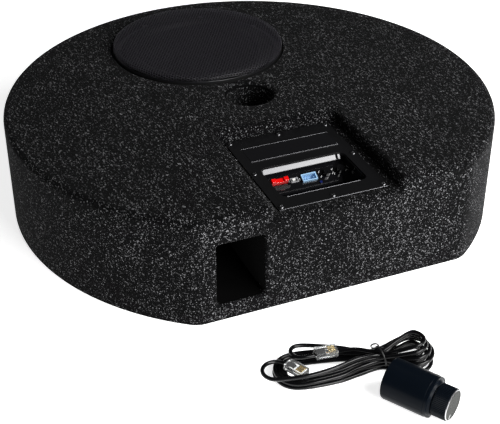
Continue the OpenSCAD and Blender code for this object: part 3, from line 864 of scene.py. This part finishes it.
    def pierce(self, piece: Piece, face: bmesh.types.BMFace, rings: list[Edges]) -> None:
        """Fills a flat side again, round its holes.

        Args:
            piece: The cover's piece.
            face: The side.
            rings: The edges of each hole.
        """
        normal = face.normal.copy()
        border = list(face.edges)
        bmesh.ops.delete(piece.bm, geom=[face], context="FACES_ONLY")
        edges = border + [edge for ring in rings for edge in ring]
        piece.fill(edges, normal)

    def ring(self, piece: Piece, profile: list[Pair], centre: Pair) -> Edges:
        """Turns the felt down into a round hole.

        Args:
            piece: The cover's piece.
            profile: Radius and height of each step, from the top, in millimetres.
            centre: The hole's place.

        Returns:
            The hole's edges at the top.
        """
        bm = piece.bm
        radius, height = profile[0]
        at = Matrix.Translation(mm(*centre, height))
        about = Matrix.Translation(-mm(*centre, 0))
        made = bmesh.ops.create_circle(bm, segments=self.ring_steps, radius=radius * MM, matrix=at)
        edges = edges_at(made["verts"])
        top = list(edges)
        for (r0, z0), (r1, z1) in zip(profile, profile[1:]):
            step = bmesh.ops.extrude_edge_only(bm, edges=edges)
            verts, edges = verts_in(step), edges_in(step)
            bmesh.ops.scale(bm, verts=verts, vec=(r1 / r0, r1 / r0, 1), space=about)
            bmesh.ops.translate(bm, verts=verts, vec=mm(0, 0, z1 - z0))
        return top

    def slot_ring(
        self, piece: Piece, corners: list[Vector], inward: Vector, roll: float, depth: float,
    ) -> Edges:
        """Turns the felt into an opening with straight sides.

        Args:
            piece: The cover's piece.
            corners: The opening's corners, in metres.
            inward: The way into the opening, of length 1.
            roll: Radius of its rolled edge, in metres.
            depth: How far the felt runs in, in metres.

        Returns:
            The opening's edges on the flat side.
        """
        bm = piece.bm
        middle = sum(corners, Vector()) / len(corners)
        edges = piece.rounded_loop(corners, self.port_corner_mm, 3)
        loop = list(dict.fromkeys(v for e in edges for v in e.verts))
        size = max((v.co - middle).length for v in loop)
        grow = 1 + roll / size * 1.2
        for v in loop:
            v.co = middle + (v.co - middle) * grow
        top = list(edges)
        for turn in (30, 60, 90):
            step = bmesh.ops.extrude_edge_only(bm, edges=edges)
            moved, edges = verts_in(step), edges_in(step)
            last = math.radians(turn - 30)
            now = math.radians(turn)
            shrink = (grow - (grow - 1) * math.sin(now)) / (grow - (grow - 1) * math.sin(last))
            for v in moved:
                flat = v.co - middle
                flat -= inward * flat.dot(inward)
                v.co += flat * (shrink - 1) + inward * roll * (math.cos(last) - math.cos(now))
        piece.draw_out(edges, inward * depth)
        return top

    def rolled_in(self, radius: float, roll: float) -> list[Pair]:
        """Gives the profile of felt that rolls down into a round hole.

        Args:
            radius: Radius of the hole, in millimetres.
            roll: Radius of the roll.

        Returns:
            Radius and height of each step, from the top.
        """
        turns = [math.radians(a) for a in (0, 22.5, 45, 67.5, 90)]
        return [(radius + roll * (1 - math.sin(a)), self.top_mm - roll * (1 - math.cos(a))) for a in turns]

    def build(self, paints: Paints) -> bpy.types.Object:
        """Args:
            paints: The finishes.

        Returns:
            The cover.
        """
        piece = Piece("felt_cover")
        self.shell(piece)
        self.rolled_edges(piece)
        dx, dy, dr = self.driver_mm
        hole = [*self.rolled_in(self.hole_mm, self.hole_roll_mm), (self.hole_mm, self.hole_end_mm)]
        seat = self.rolled_in(dr, self.seat_roll_mm)
        up = self.flat_face(piece, Vector((0, 0, 1)), self.top_mm * MM)
        self.pierce(piece, up, [self.ring(piece, hole, (0, 0)), self.ring(piece, seat, (dx, dy))])
        low = self.flat_face(piece, Vector((0, 0, -1)), 0.0)
        under = self.hole_mm + self.under_gap_mm
        self.pierce(piece, low, [self.ring(piece, [(under, 0.0), (under, self.under_run_mm)], (0, 0))])
        left, bottom, right, top = self.port_mm
        sides = ((left, bottom), (right, bottom), (right, top), (left, top))
        port = [mm(x, -self.flat_mm, z) for x, z in sides]
        front = self.flat_face(piece, Vector((0, -1, 0)), self.flat_mm * MM)
        opening = self.slot_ring(piece, port, Vector((0, 1, 0)), self.port_roll_mm * MM, self.port_run_mm * MM)
        self.pierce(piece, front, [opening])
        x0, y0, x1, y1 = self.opening_mm
        plate = [mm(x, y, self.ledge_mm) for x, y in ((x0, y0), (x1, y0), (x1, y1), (x0, y1))]
        ledge = self.flat_face(piece, Vector((0, 0, 1)), self.ledge_mm * MM)
        verts = [piece.bm.verts.new(p) for p in plate]
        rim = [piece.bm.edges.new((verts[i], verts[(i + 1) % 4])) for i in range(4)]
        self.pierce(piece, ledge, [rim])
        piece.heal()
        made = piece.finish(paints.of("carpet"), sharp=50.0)
        give_wall(made, "thickness", self.thick_mm)
        settle(made, Body.BOX, ("top_carpet", "side_carpet", "bottom_carpet", "recess_carpet"))
        area = sum(p.area for p in made.data.polygons)
        LOG.info("felt area %.3f square metres", area)
        return made


@dataclass
class PortLiningAndShade:
    """The black film that lines the port's duct, floor included. Its near-black colour is partly real black
    paint and partly painted shade deep in the duct.

    Attributes:
        opening_mm: Left, bottom, right and top of the duct.
        front_mm: Where the film starts.
        back_mm: Where it ends.
        film_mm: Its thickness.
        gap_mm: Its distance from the boards.
    """

    opening_mm: Sides = (-130.0, 18.0, -78.0, 90.0)
    front_mm: float = -226.5
    back_mm: float = 10.0
    film_mm: float = 0.35
    gap_mm: float = 0.05

    def build(self, paints: Paints) -> None:
        """Makes the lining as a thin open sleeve.

        Args:
            paints: The finishes.
        """
        left, bottom, right, top = self.opening_mm
        left, bottom = left + self.gap_mm, bottom + self.gap_mm
        right, top = right - self.gap_mm, top - self.gap_mm
        sides = ((left, bottom), (right, bottom), (right, top), (left, top))
        piece = Piece("port_lining_and_shade")
        verts = [piece.bm.verts.new(mm(x, self.front_mm, z)) for x, z in sides]
        edges = [piece.bm.edges.new((verts[i], verts[(i + 1) % 4])) for i in range(4)]
        piece.draw_out(edges, mm(0, self.back_mm - self.front_mm, 0))
        piece.heal()
        # Painted shade: the lining's near-zero black also stands for the shade deep in the duct.
        made = piece.finish(paints.of("port_board"), weigh=False)
        give_wall(made, "film", self.film_mm)
        settle(made, Body.BOX)


@dataclass
class Driver:
    """The soft rings of the loudspeaker under the grille.

    Attributes:
        centre_mm: Place of the driver's axis.
        land_mm: Height of the surround's glued edge.
        landing_mm: Height of the spider's glued edge.
        roll_mm: Radius at the middle of the surround's roll.
    """

    centre_mm: Pair = (-10.0, 140.0)
    land_mm: float = 114.4
    landing_mm: float = 78.4
    roll_mm: float = 81.0

    def place(self) -> Matrix:
        """Gives the driver's upright frame."""
        return axis_place(mm(*self.centre_mm, 0))

    def half_roll(self, wide: float, base: float, high: float, turns: range) -> list[Pair]:
        """Gives one side of the surround's half roll.

        Args:
            wide: Its half width, in millimetres.
            base: Height of its foot.
            high: Its rise above the foot.
            turns: The angles of its points, in degrees.

        Returns:
            Radius and height of each point.
        """
        angles = [math.radians(a) for a in turns]
        return [(self.roll_mm + wide * math.cos(a), base + high * math.sin(a)) for a in angles]

    def bridge(self, piece: Piece, slot: str, paints: Paints, node: str) -> None:
        """Finishes a soft ring in place and hides the CAD node that it stands for.

        Args:
            piece: The ring.
            slot: Its material slot and finish.
            paints: The finishes.
            node: The CAD node it stands for.
        """
        made = piece.finish(paints.of(slot), weigh=False)
        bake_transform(made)
        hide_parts(node)

    def build(self, paints: Paints) -> None:
        """Makes the surround and the spider.

        Args:
            paints: The finishes.
        """
        z = self.land_mm
        ring = Piece("rubber_surround")
        profile = [
            (93.3, z), (93.3, z + 0.8), *self.half_roll(6.5, z + 0.8, 5.6, range(0, 181, 15)),
            (74.2, z - 1.6), (69.5, z - 3.4), (69.5, z - 3.9), (74.6, z - 2.2),
            *self.half_roll(5.7, z, 5.0, range(180, -1, -15)),
        ]
        ring.lathe([*profile, profile[0]], self.place(), 120)
        self.bridge(ring, "rubber_black", paints, "driver_surround")
        spider = Piece("corrugated_spider")
        z = self.landing_mm
        crest = [(21.0 + 3.6 * i, z + 0.7 + 1.3 * (i % 2)) for i in range(11)]
        upper = [(19.6, z - 2.4), *crest, (59.6, z + 0.5)]
        lower = [(r, h - 0.5) for r, h in reversed(upper)]
        spider.lathe([*upper, *lower, upper[0]], self.place(), 96)
        self.bridge(spider, "spider_cloth", paints, "driver_spider")


@dataclass
class Grille:
    """The pressed, perforated dish.

    Attributes:
        centre_mm: Place of its middle.
        top_mm: Height of its flat top.
        radius_mm: Its outer radius.
        shoulder_mm: Radius of its pressed shoulder.
        pitch_mm: Distance between the middles of two holes.
        web_mm: Half the width of the metal between two holes.
        sheet_mm: Thickness of the sheet.
    """

    centre_mm: Pair = (-10.0, 140.0)
    top_mm: float = 128.0
    radius_mm: float = 103.0
    shoulder_mm: float = 3.6
    pitch_mm: float = 3.7
    web_mm: float = 0.34
    sheet_mm: float = 0.3

    def build(self, paints: Paints) -> None:
        """Makes the perforated field and the pressed rim.

        Args:
            paints: The finishes.
        """
        place = axis_place(mm(*self.centre_mm, 0))
        field_r = self.radius_mm - self.shoulder_mm + self.shoulder_mm * math.pi / 2 + 0.4
        mesh = Piece("grille_field")
        side = self.pitch_mm / math.sqrt(3)
        pointed = turned(30, "Z")
        rows = int(field_r / (side * 1.5)) + 1
        cells = int(field_r / self.pitch_mm) + 1
        for row in range(-rows, rows + 1):
            for cell in range(-cells, cells + 1):
                x = (cell + 0.5 * (row % 2)) * self.pitch_mm
                y = row * side * 1.5
                if math.hypot(x, y) > field_r:
                    continue
                spot = place @ Matrix.Translation(mm(x, y, self.top_mm - 0.1)) @ pointed
                bmesh.ops.create_circle(mesh.bm, cap_ends=True, segments=6, radius=side * MM, matrix=spot)
        bmesh.ops.remove_doubles(mesh.bm, verts=mesh.bm.verts[:], dist=2e-5)
        if mesh.bm.faces[:][0].normal.z < 0:
            bmesh.ops.reverse_faces(mesh.bm, faces=mesh.bm.faces[:])
        cells_made = mesh.bm.faces[:]
        web = self.web_mm * MM
        bmesh.ops.inset_individual(mesh.bm, faces=cells_made, thickness=web, use_even_offset=True)
        bmesh.ops.delete(mesh.bm, geom=cells_made, context="FACES")
        self.wrap(mesh)
        made = mesh.finish(paints.of("grille_paint"), weigh=False)
        give_wall(made, "sheet", self.sheet_mm)
        settle(made, Body.BOX, ("grille_mesh",))
        # The rim band takes the darker grille_edge copy of the grille paint: painted shade over its edge
        # highlight.
        rim = Piece("grille_rim")
        r = self.radius_mm
        profile = [
            (r - 0.9, 121.0), (r + 0.1, 121.0), (r + 0.25, 121.3),
            (r + 0.2, 122.3), (r, 122.7), (r - 0.6, 122.7),
        ]
        rim.lathe([*profile, profile[0]], place, 144)
        settle(rim.finish(paints.of("grille_edge"), weigh=False), Body.BOX)

    def wrap(self, mesh: Piece) -> None:
        """Bends the flat field down over the dish's shoulder.

        Args:
            mesh: The field.
        """
        centre = mm(*self.centre_mm, 0)
        bend = self.shoulder_mm * MM
        start = (self.radius_mm - self.shoulder_mm) * MM
        for v in mesh.bm.verts:
            out = Vector((v.co.x - centre.x, v.co.y - centre.y, 0))
            past = out.length - start
            if past <= 0:
                continue
            turn = min(past / bend, math.pi / 2)
            drop = max(0.0, past - bend * math.pi / 2)
            wide = out.normalized() * (start + bend * math.sin(turn))
            v.co = Vector((centre.x + wide.x, centre.y + wide.y, v.co.z - bend * (1 - math.cos(turn)) - drop))


def panel_place() -> Matrix:
    """Gives the sloping panel's frame, in the middle of its upper edge."""
    return Matrix.Translation(mm(1.5, -138, 96)) @ turned(28, "X")


@dataclass
class Amplifier:
    """The plate amplifier: plate, bevel with a painted reflection, strip, fuse, marks and screws.

    Attributes:
        plate_mm: Left, front, right and back of the plate.
        window_mm: The same for its window.
        low_mm: Height of the plate's underside.
        high_mm: Height of its face.
        corner_mm: Radius of the plate's corners.
        window_corner_mm: Radius of the window's corners.
        bevel_mm: Radius of the edges round the face.
        screw_inset_mm: Distance of the screws from the plate's edges.
        panel: Frame of the sloping control panel.
    """

    plate_mm: Sides = (-59.5, -217.0, 62.5, -73.0)
    window_mm: Sides = (-46.5, -197.0, 49.5, -138.0)
    low_mm: float = 103.0
    high_mm: float = 106.0
    corner_mm: float = 3.0
    window_corner_mm: float = 7.0
    bevel_mm: float = 1.2
    screw_inset_mm: float = 4.5
    panel: Matrix = field(default_factory=panel_place)

    def corners(self, box: Sides, z: float) -> list[Vector]:
        """Gives a rectangle's corners at a height."""
        x0, y0, x1, y1 = box
        return [mm(x0, y0, z), mm(x1, y0, z), mm(x1, y1, z), mm(x0, y1, z)]

    def plate(self, paints: Paints) -> None:
        """Makes the plate with its window.

        Args:
            paints: The finishes.
        """
        piece = Piece("amp_plate_bevelled")
        edges = piece.rounded_loop(self.corners(self.plate_mm, self.high_mm), self.corner_mm, 5)
        edges += piece.rounded_loop(self.corners(self.window_mm, self.high_mm), self.window_corner_mm, 5)
        piece.fill(edges, (0, 0, 1))
        piece.thicken(piece.bm.faces[:], mm(0, 0, self.low_mm - self.high_mm))
        piece.heal()
        high = self.high_mm * MM
        top = [
            e for e in piece.bm.edges
            if all(abs(v.co.z - high) < 1e-6 for v in e.verts) and e.calc_face_angle(0.0) > 0.8
        ]
        piece.round_off(top, self.bevel_mm, 4)
        settle(piece.finish(paints.of("amp_paint")), Body.BOX, ("amp_plate",))

    def bright_bevel(self, paints: Paints) -> None:
        """Makes the slope along the back of the window, in two lengths, in silver metal that stands for a
        painted reflection on a glossy black bevel.

        Args:
            paints: The finishes.
        """
        x0, _, x1, back = self.window_mm
        # Painted reflection: the silver slope stands for the bright bar reflected on the window's back bevel.
        piece = Piece("window_bevel_reflection")
        for start, end in ((x0 + 3, x1 - 9), (x1 - 6.6, x1 - 4)):
            slope = ((back - 0.2, 104.4), (back - 3.6, 100.2), (back - 3.6, 99.4), (back + 0.3, 103.6))
            face = piece.bm.faces.new([piece.bm.verts.new(mm(start, y, z)) for y, z in slope])
            piece.thicken([face], mm(end - start, 0, 0))
        piece.heal()
        piece.round_off(piece.bm.edges[:], 0.25, 2)
        settle(piece.finish(paints.of("slope_silver")), Body.BOX)

    def strip(self, paints: Paints) -> None:
        """Makes the blank gloss strip and the thin pale metal lines along edges of the plate, which are
        painted edge highlights.

        Args:
            paints: The finishes.
        """
        piece = Piece("gloss_strip")
        piece.block((-48.4, -121.9, 104.9), (51.4, -94.1, 106.3), Matrix.Identity(4), 0.4, 3)
        settle(piece.finish(paints.of("amp_gloss")), Body.BOX, ("amp_inlay",))
        # Thin pale metal strips where the plate's edges catch the light: painted highlights, not real trims.
        trims = Piece("painted_highlight_trims")
        level = Matrix.Identity(4)
        lines = (
            ((-49.2, -122.5, 105.8), (52.2, -121.9, 106.6), level, 0.15),
            ((-49.2, -94.1, 105.8), (52.2, -93.5, 106.6), level, 0.15),
            ((-58.6, -217.35, 105.0), (61.6, -216.7, 105.75), level, 0.15),
            ((-42.0, -197.6, 105.6), (40.0, -196.9, 106.2), level, 0.2),
            ((-44.0, -23.6, -0.1), (34.0, -22.9, 0.5), self.panel, 0.15),
            ((48.6, -188.0, 103.6), (49.1, -148.0, 104.1), level, 0.15),
        )
        for low, high, place, bevel in lines:
            trims.block(low, high, place, bevel, 1)
        settle(trims.finish(paints.of("satin_trim")), Body.BOX)

    def fuse(self, paints: Paints) -> None:
        """Makes the blade fuse with its two lobes.

        Args:
            paints: The finishes.
        """
        place = self.panel @ Matrix.Translation(mm(-31.5, -13, 0))
        piece = Piece("blade_fuse_body")
        piece.block((-9.5, -2.5, 3.2), (9.5, 2.5, 8.6), place, 0.5, 3)
        for x in (-6.9, 6.9):
            piece.block((x - 2.6, -2.5, 8.0), (x + 2.6, 2.5, 10.5), place, 0.6, 3)
            piece.block((x - 2.55, -0.35, -3.9), (x + 2.55, 0.35, 3.4), place, 0.0)
        settle(piece.finish(paints.of("fuse_red")), Body.BOX, ("blade_fuse",))

    def marks(self, paints: Paints) -> None:
        """Makes the tick marks round the two trims and beside the switch.

        Args:
            paints: The finishes.
        """
        piece = Piece("panel_marks")
        slant = turned(-35, "Z")
        for x in (24.0, 39.5):
            for across, along in ((-7.2, -8.6), (-6.4, -14.4), (6.6, -9.4), (7.4, -13.2)):
                place = self.panel @ Matrix.Translation(mm(x + across, along, 0)) @ slant
                piece.block((-0.3, -1.5, 0.02), (0.3, 1.5, 0.14), place, 0.0)
        for x in (-18.5, -6.5):
            piece.block((x - 0.3, -13.5, 0.02), (x + 0.3, -10.5, 0.14), self.panel, 0.0)
        settle(piece.finish(paints.of("white_mark"), weigh=False), Body.BOX)

    def screws(self, paints: Paints) -> None:
        """Makes the eight domed, cross-slotted screws.

        Args:
            paints: The finishes.
        """
        piece = Piece("plate_screws")
        left, front, right, back = self.plate_mm
        left, right = left + self.screw_inset_mm, right - self.screw_inset_mm
        front, back = front + self.screw_inset_mm, back - self.screw_inset_mm
        spots = [(x, y) for x in (left, right) for y in (front, (front + back) / 2, back)]
        spots += [((left + right) / 2, y) for y in (front, back)]
        head = [
            (0.0, 107.7), (1.2, 107.62), (2.2, 107.25), (2.9, 106.7),
            (3.25, 106.02), (3.25, 105.7), (0.0, 105.7),
        ]
        for x, y in spots:
            piece.lathe(head, axis_place(mm(x, y, 0)), 24)
            for turn in (20, 110):
                cross = axis_place(mm(x, y, 0)) @ turned(turn, "Z")
                piece.block((-1.8, -0.3, 107.2), (1.8, 0.3, 107.74), cross, 0.1, 1)
        settle(piece.finish(paints.of("black_screw")), Body.BOX, ("amp_screws",))

    def build(self, paints: Paints) -> None:
        """Makes every visible part of the amplifier.

        Args:
            paints: The finishes.
        """
        self.plate(paints)
        self.bright_bevel(paints)
        self.strip(paints)
        self.fuse(paints)
        self.marks(paints)
        self.screws(paints)


@dataclass
class Remote:
    """The level remote: case, ribbed knob and spun disc.

    Attributes:
        back_mm: Place of the middle of the case's back, on the floor.
        heading: The way the shaft points, in degrees.
        axis_mm: Height of the shaft.
        radius_mm: Radius of the case.
        case_mm: Length of the case.
        knob_at_mm: Where the knob starts, along the shaft.
        knob_mm: Radius of the knob.
        disc_centre_mm: Where the disc's face lies, along the shaft.
        ribs: Number of ribs on the knob.
    """

    back_mm: Pair = (-24.0, -389.0)
    heading: float = -58.0
    axis_mm: float = 18.4
    radius_mm: float = 20.0
    case_mm: float = 43.0
    knob_at_mm: float = 49.0
    knob_mm: float = 15.5
    disc_centre_mm: float = 64.0
    ribs: int = 60

    def shaft(self, along: float) -> Matrix:
        """Gives a frame on the shaft, with Z along it."""
        return (
            Matrix.Translation(mm(*self.back_mm, 0)) @ turned(self.heading, "Z")
            @ Matrix.Translation(mm(along, 0, self.axis_mm)) @ turned(90, "Y")
        )

    def case(self, paints: Paints) -> None:
        """Makes the two shells, round above and flat below.

        Args:
            paints: The finishes.
        """
        r, end = self.radius_mm, self.case_mm
        profile = [
            (0.0, 0.0), (r - 1.6, 0.0), (r - 0.5, 0.5), (r, 1.6),
            (r, end - 0.8), (r - 0.4, end - 0.2), (r - 1.2, end), (0.0, end),
        ]
        seam, half_gap, foot = self.axis_mm - 3, 0.12, 0.02
        for half, above in (("upper", True), ("lower", False)):
            piece = Piece("remote_case_" + half)
            piece.lathe(profile, self.shaft(0), 96)
            cuts = [(seam + (half_gap if above else -half_gap), above), (foot, True)]
            for height, keep_above in cuts:
                whole = piece.bm.verts[:] + piece.bm.edges[:] + piece.bm.faces[:]
                done = bmesh.ops.bisect_plane(
                    piece.bm, geom=whole, plane_co=mm(0, 0, height), plane_no=(0, 0, 1),
                    clear_inner=keep_above, clear_outer=not keep_above,
                )
                rim = [e for e in done["geom_cut"] if isinstance(e, bmesh.types.BMEdge)]
                if rim:
                    piece.fill(rim, (0, 0, 1))
            piece.heal()
            settle(piece.finish(paints.of("remote_case")), Body.BOX, ("remote_" + half,))

    def knob(self, paints: Paints) -> None:
        """Makes the ribbed knob, its spun disc and the pointer.

        Args:
            paints: The finishes.
        """
        front = self.shaft(self.knob_at_mm)
        knob = Piece("ribbed_knob")
        radius = self.knob_mm * MM
        made = bmesh.ops.create_circle(knob.bm, cap_ends=True, segments=self.ribs * 2, radius=radius)
        ring = sorted(made["verts"], key=lambda v: math.atan2(v.co.y, v.co.x))
        bmesh.ops.scale(knob.bm, verts=ring[::2], vec=(0.972, 0.972, 1.0))
        knob.thicken(knob.bm.faces[:], mm(0, 0, 14.2))
        knob.heal()
        ends = [e for e in knob.bm.edges if abs(e.verts[0].co.z - e.verts[1].co.z) < 1e-6]
        knob.round_off(ends, 0.5, 2)
        bmesh.ops.transform(knob.bm, matrix=front, verts=knob.bm.verts[:])
        knob.heal()
        settle(knob.finish(paints.of("remote_knob")), Body.DIAL, ("remote_knob",))
        disc = Piece("spun_disc")
        face = [(0.0, 14.75), (13.9, 14.75), (14.2, 14.7), (14.3, 14.5), (14.4, 13.6)]
        disc.lathe([(0.0, 0.9), *face, (14.4, 0.9), (0.0, 0.9)], front, 96)
        settle(disc.finish(paints.of("spun_aluminium")), Body.DIAL, ("remote_knob_cap",))
        chamfer = Piece("bright_chamfer")
        edge = [(14.1, 14.1), (14.1, 14.9), (14.35, 15.0), (14.75, 14.7), (14.75, 14.1)]
        chamfer.lathe([*edge, edge[0]], front, 96)
        settle(chamfer.finish(paints.of("bright_edge")), Body.DIAL)
        pointer = Piece("knob_pointer")
        pointer.block((8.6, -0.35, 14.6), (13.6, 0.35, 14.95), front @ turned(-30, "Z"), 0.1, 1)
        settle(pointer.finish(paints.of("white_mark")), Body.DIAL)

    def build(self, paints: Paints) -> None:
        """Makes the whole remote.

        Args:
            paints: The finishes.
        """
        self.case(paints)
        self.knob(paints)


@dataclass
class Cable:
    """The coiled cable, its tie and its two plugs.

    Attributes:
        centre_mm: Place of the coil's middle.
        heading: The way the coil lies, in degrees.
        thick_mm: Thickness of the cable.
        length: The cable's declared length, in metres. It is not used.
        tie_wide_mm: Width of the tie.
        tie_thick_mm: Thickness of the tie.
        seed: Seed of the turns' sway.
        turns: Number of times that it passes through the right-hand fan.
    """

    centre_mm: Pair = (-42.0, -345.0)
    heading: float = -13.0
    thick_mm: float = 4.0
    length: float = 2.7
    tie_wide_mm: float = 1.4
    tie_thick_mm: float = 1.0
    seed: int = 7
    turns: int = 8

    def place(self) -> Matrix:
        """Gives the coil's own frame."""
        return Matrix.Translation(mm(*self.centre_mm, 0)) @ turned(self.heading, "Z")

    def route(self) -> list[Vector]:
        """Gives the points that the cable passes, in its own frame, in millimetres.

        Returns:
            The points, from the first plug to the second.
        """
        draw = random.Random(self.seed)
        points = [
            (-33.0, 3.6, 18.3), (-39.0, 3.1, 18.3), *self.arc((-45.0, 12.5), 9.4, -90, -270, 18.0, 16.5),
            (-28.0, 20.0, 15.5), (4.0, 12.0, 13.0),
        ]
        for turn in range(self.turns):
            lane, level = turn % 4, turn // 4
            sway = draw.uniform(-0.8, 0.8)
            tie_y = 6.5 if lane % 2 == 0 else 2.3
            tie_z = 2.6 + 4.15 * (lane // 2 + 2 * level)
            fan_r = 19.5 - 3.1 * lane
            fan_z = 2.7 + 4.4 * lane if level == 0 else 13.0 + 5.0 * lane
            fan_x = 60.0 + sway
            back_r = 21.5 - 3.6 * lane
            back_z = 2.7 + 4.4 * level
            ahead = [(30, tie_y, tie_z), (46, tie_y * 0.4 + fan_r * 0.6, (tie_z + fan_z) / 2)]
            points += ahead + self.arc((fan_x, 0.0), fan_r, 80, -80, fan_z, fan_z)
            points += [(x, -y, z) for x, y, z in reversed(ahead)]
            if turn == self.turns - 1:
                break
            home = [
                (6, tie_y * 0.6 + back_r * 0.4, tie_z),
                (-14, tie_y * 0.2 + back_r * 0.8, (tie_z + back_z) / 2),
            ]
            points += [(x, -y, z) for x, y, z in home]
            points += self.arc((-50.0 + sway, 0.0), back_r, -100, -260, back_z, back_z) + home[::-1]
        points += [
            (6, -9.5, 19.6), (-20, -19.0, 19.5), (-45, -23.8, 18.5),
            *self.arc((-71.0, -8.6), 14.0, -90, -320, 17.0, 13.4),
        ]
        return [Vector(p) for p in points]

    def arc(
        self, centre: Pair, radius: float, first: float, last: float, z0: float, z1: float,
    ) -> list[Triple]:
        """Gives points along an arc.

        Args:
            centre: Its middle, in millimetres.
            radius: Its radius.
            first: Angle of its first point, in degrees.
            last: Angle of its last point.
            z0: Height of its first point.
            z1: Height of its last point.

        Returns:
            The points.
        """
        steps = max(4, round(abs(last - first) / 30))
        turns = [(i / steps, math.radians(first + (last - first) * i / steps)) for i in range(steps + 1)]
        x, y = centre
        return [(x + radius * math.cos(a), y + radius * math.sin(a), z0 + (z1 - z0) * t) for t, a in turns]

    def smooth(self, points: list[Vector], per_span: int = 5) -> list[Vector]:
        """Runs one smooth line through points.

        Args:
            points: The points.
            per_span: Steps between each pair.

        Returns:
            The line's points.
        """
        line = []
        ends = [points[0] * 2 - points[1], *points, points[-1] * 2 - points[-2]]
        for p0, p1, p2, p3 in zip(ends, ends[1:], ends[2:], ends[3:]):
            t1 = (p1 - p0).length ** 0.5
            t2 = t1 + (p2 - p1).length ** 0.5
            t3 = t2 + (p3 - p2).length ** 0.5
            for k in range(per_span):
                t = t1 + (t2 - t1) * k / per_span
                a1 = p0 * ((t1 - t) / t1) + p1 * (t / t1)
                a2 = p1 * ((t2 - t) / (t2 - t1)) + p2 * ((t - t1) / (t2 - t1))
                a3 = p2 * ((t3 - t) / (t3 - t2)) + p3 * ((t - t2) / (t3 - t2))
                b1 = a1 * ((t2 - t) / t2) + a2 * (t / t2)
                b2 = a2 * ((t3 - t) / (t3 - t1)) + a3 * ((t - t1) / (t3 - t1))
                line.append(b1 * ((t2 - t) / (t2 - t1)) + b2 * ((t - t1) / (t2 - t1)))
        return [*line, points[-1]]

    def plug(
        self, name: str, node: str, at: Triple, turn: float, paints: Paints,
    ) -> list[bpy.types.Object]:
        """Makes one clear plug and its contacts.

        Args:
            name: The piece's name.
            node: The CAD node that it stands for.
            at: Place of its cable end in the coil's frame, in millimetres.
            turn: Its heading in the coil's frame, in degrees.
            paints: The finishes.

        Returns:
            The plug, its contacts and the end of the wire in it.
        """
        place = self.place() @ Matrix.Translation(mm(*at)) @ turned(turn, "Z")
        shell = Piece(name)
        shell.block((0, -5.85, 1.3), (21.5, 5.85, 7.9), place, 0.5, 2)
        shell.block((4.0, -3.0, 0.0), (19.5, 3.0, 1.5), place, 0.4, 2)
        body = settle(shell.finish(paints.of("clear_plug")), Body.BOX, (node,))
        gold = Piece(name + "_contacts")
        for i in range(8):
            gold.block((12.5, -3.9 + 1.02 * i, 6.0), (19.5, -3.3 + 1.02 * i, 8.05), place, 0.1, 1)
        wire = Piece(name + "_wire_end")
        wire.block((0.4, -2.3, 3.0), (9.5, 2.3, 6.2), place, 0.4, 2)
        return [
            body, settle(gold.finish(paints.of("gold_contact"), weigh=False), Body.BOX),
            settle(wire.finish(paints.of("cable_black")), Body.BOX),
        ]

    def tie(self, paints: Paints) -> bpy.types.Object:
        """Makes the tie round the coil, with a small loop on top.

        Args:
            paints: The finishes.

        Returns:
            The tie.
        """
        place = self.place()
        loop = place @ Matrix.Translation(mm(29.5, 0, 10.75)) @ turned(12, "Z") @ turned(78, "Y")
        twist = place @ Matrix.Translation(mm(24.5, 5.0, 20.6)) @ turned(70, "X")
        tie = Piece("wire_tie")
        for wide, high, where in ((10.9, 10.6, loop), (4.2, 2.6, twist)):
            made = bmesh.ops.create_circle(tie.bm, segments=40, radius=1.0)
            ring = list(made["verts"])
            bmesh.ops.scale(tie.bm, verts=ring, vec=(wide * MM, high * MM, 1.0))
            run = bmesh.ops.extrude_edge_only(tie.bm, edges=edges_at(ring))
            moved = verts_in(run)
            bmesh.ops.translate(tie.bm, verts=moved, vec=mm(0, 0, self.tie_wide_mm))
            bmesh.ops.transform(tie.bm, matrix=where, verts=ring + moved)
        tie.heal()
        tied = tie.finish(paints.of("tie_black"), weigh=False)
        give_wall(tied, "thickness", self.tie_thick_mm)
        return settle(tied, Body.BOX, ("cable_tie",))

    def build(self, paints: Paints) -> None:
        """Args:
            paints: The finishes.
        """
        place = self.place()
        line = [place @ (p * MM) for p in self.smooth(self.route())]
        real = sum((b - a).length for a, b in zip(line, line[1:]))
        LOG.info("cable route %.3f m", real)
        data = bpy.data.curves.new("coiled_cable", "CURVE")
        data.dimensions = "3D"
        data.bevel_depth = self.thick_mm / 2 * MM
        data.bevel_resolution = 3
        data.use_fill_caps = True
        spline = data.splines.new("POLY")
        spline.points.add(len(line) - 1)
        for point, at in zip(spline.points, line):
            point.co = (*at, 1.0)
        data.materials.append(paints.of("cable_black"))
        cable = bpy.data.objects.new("coiled_cable", data)
        bpy.context.scene.collection.objects.link(cable)
        settle(cable, Body.BOX, ("cable_hank",))
        first = self.plug("plug_first", "plug_a", (-33.0, 4.0, 15.0), 6.0, paints)
        second = self.plug("plug_second", "plug_b", (-60.0, 0.0, 10.0), -50.0, paints)
        self.tie(paints)


def main() -> None:
    """Builds everything in order."""
    logging.basicConfig(level=logging.INFO, format="%(name)s: %(message)s")
    Studio().build()
    paints = Paints()
    paints.dress_frame()
    Cable().build(paints)
    FeltCover().build(paints)
    PortLiningAndShade().build(paints)
    Driver().build(paints)
    Grille().build(paints)
    Amplifier().build(paints)
    Remote().build(paints)


if __name__ == "__main__":
    main()
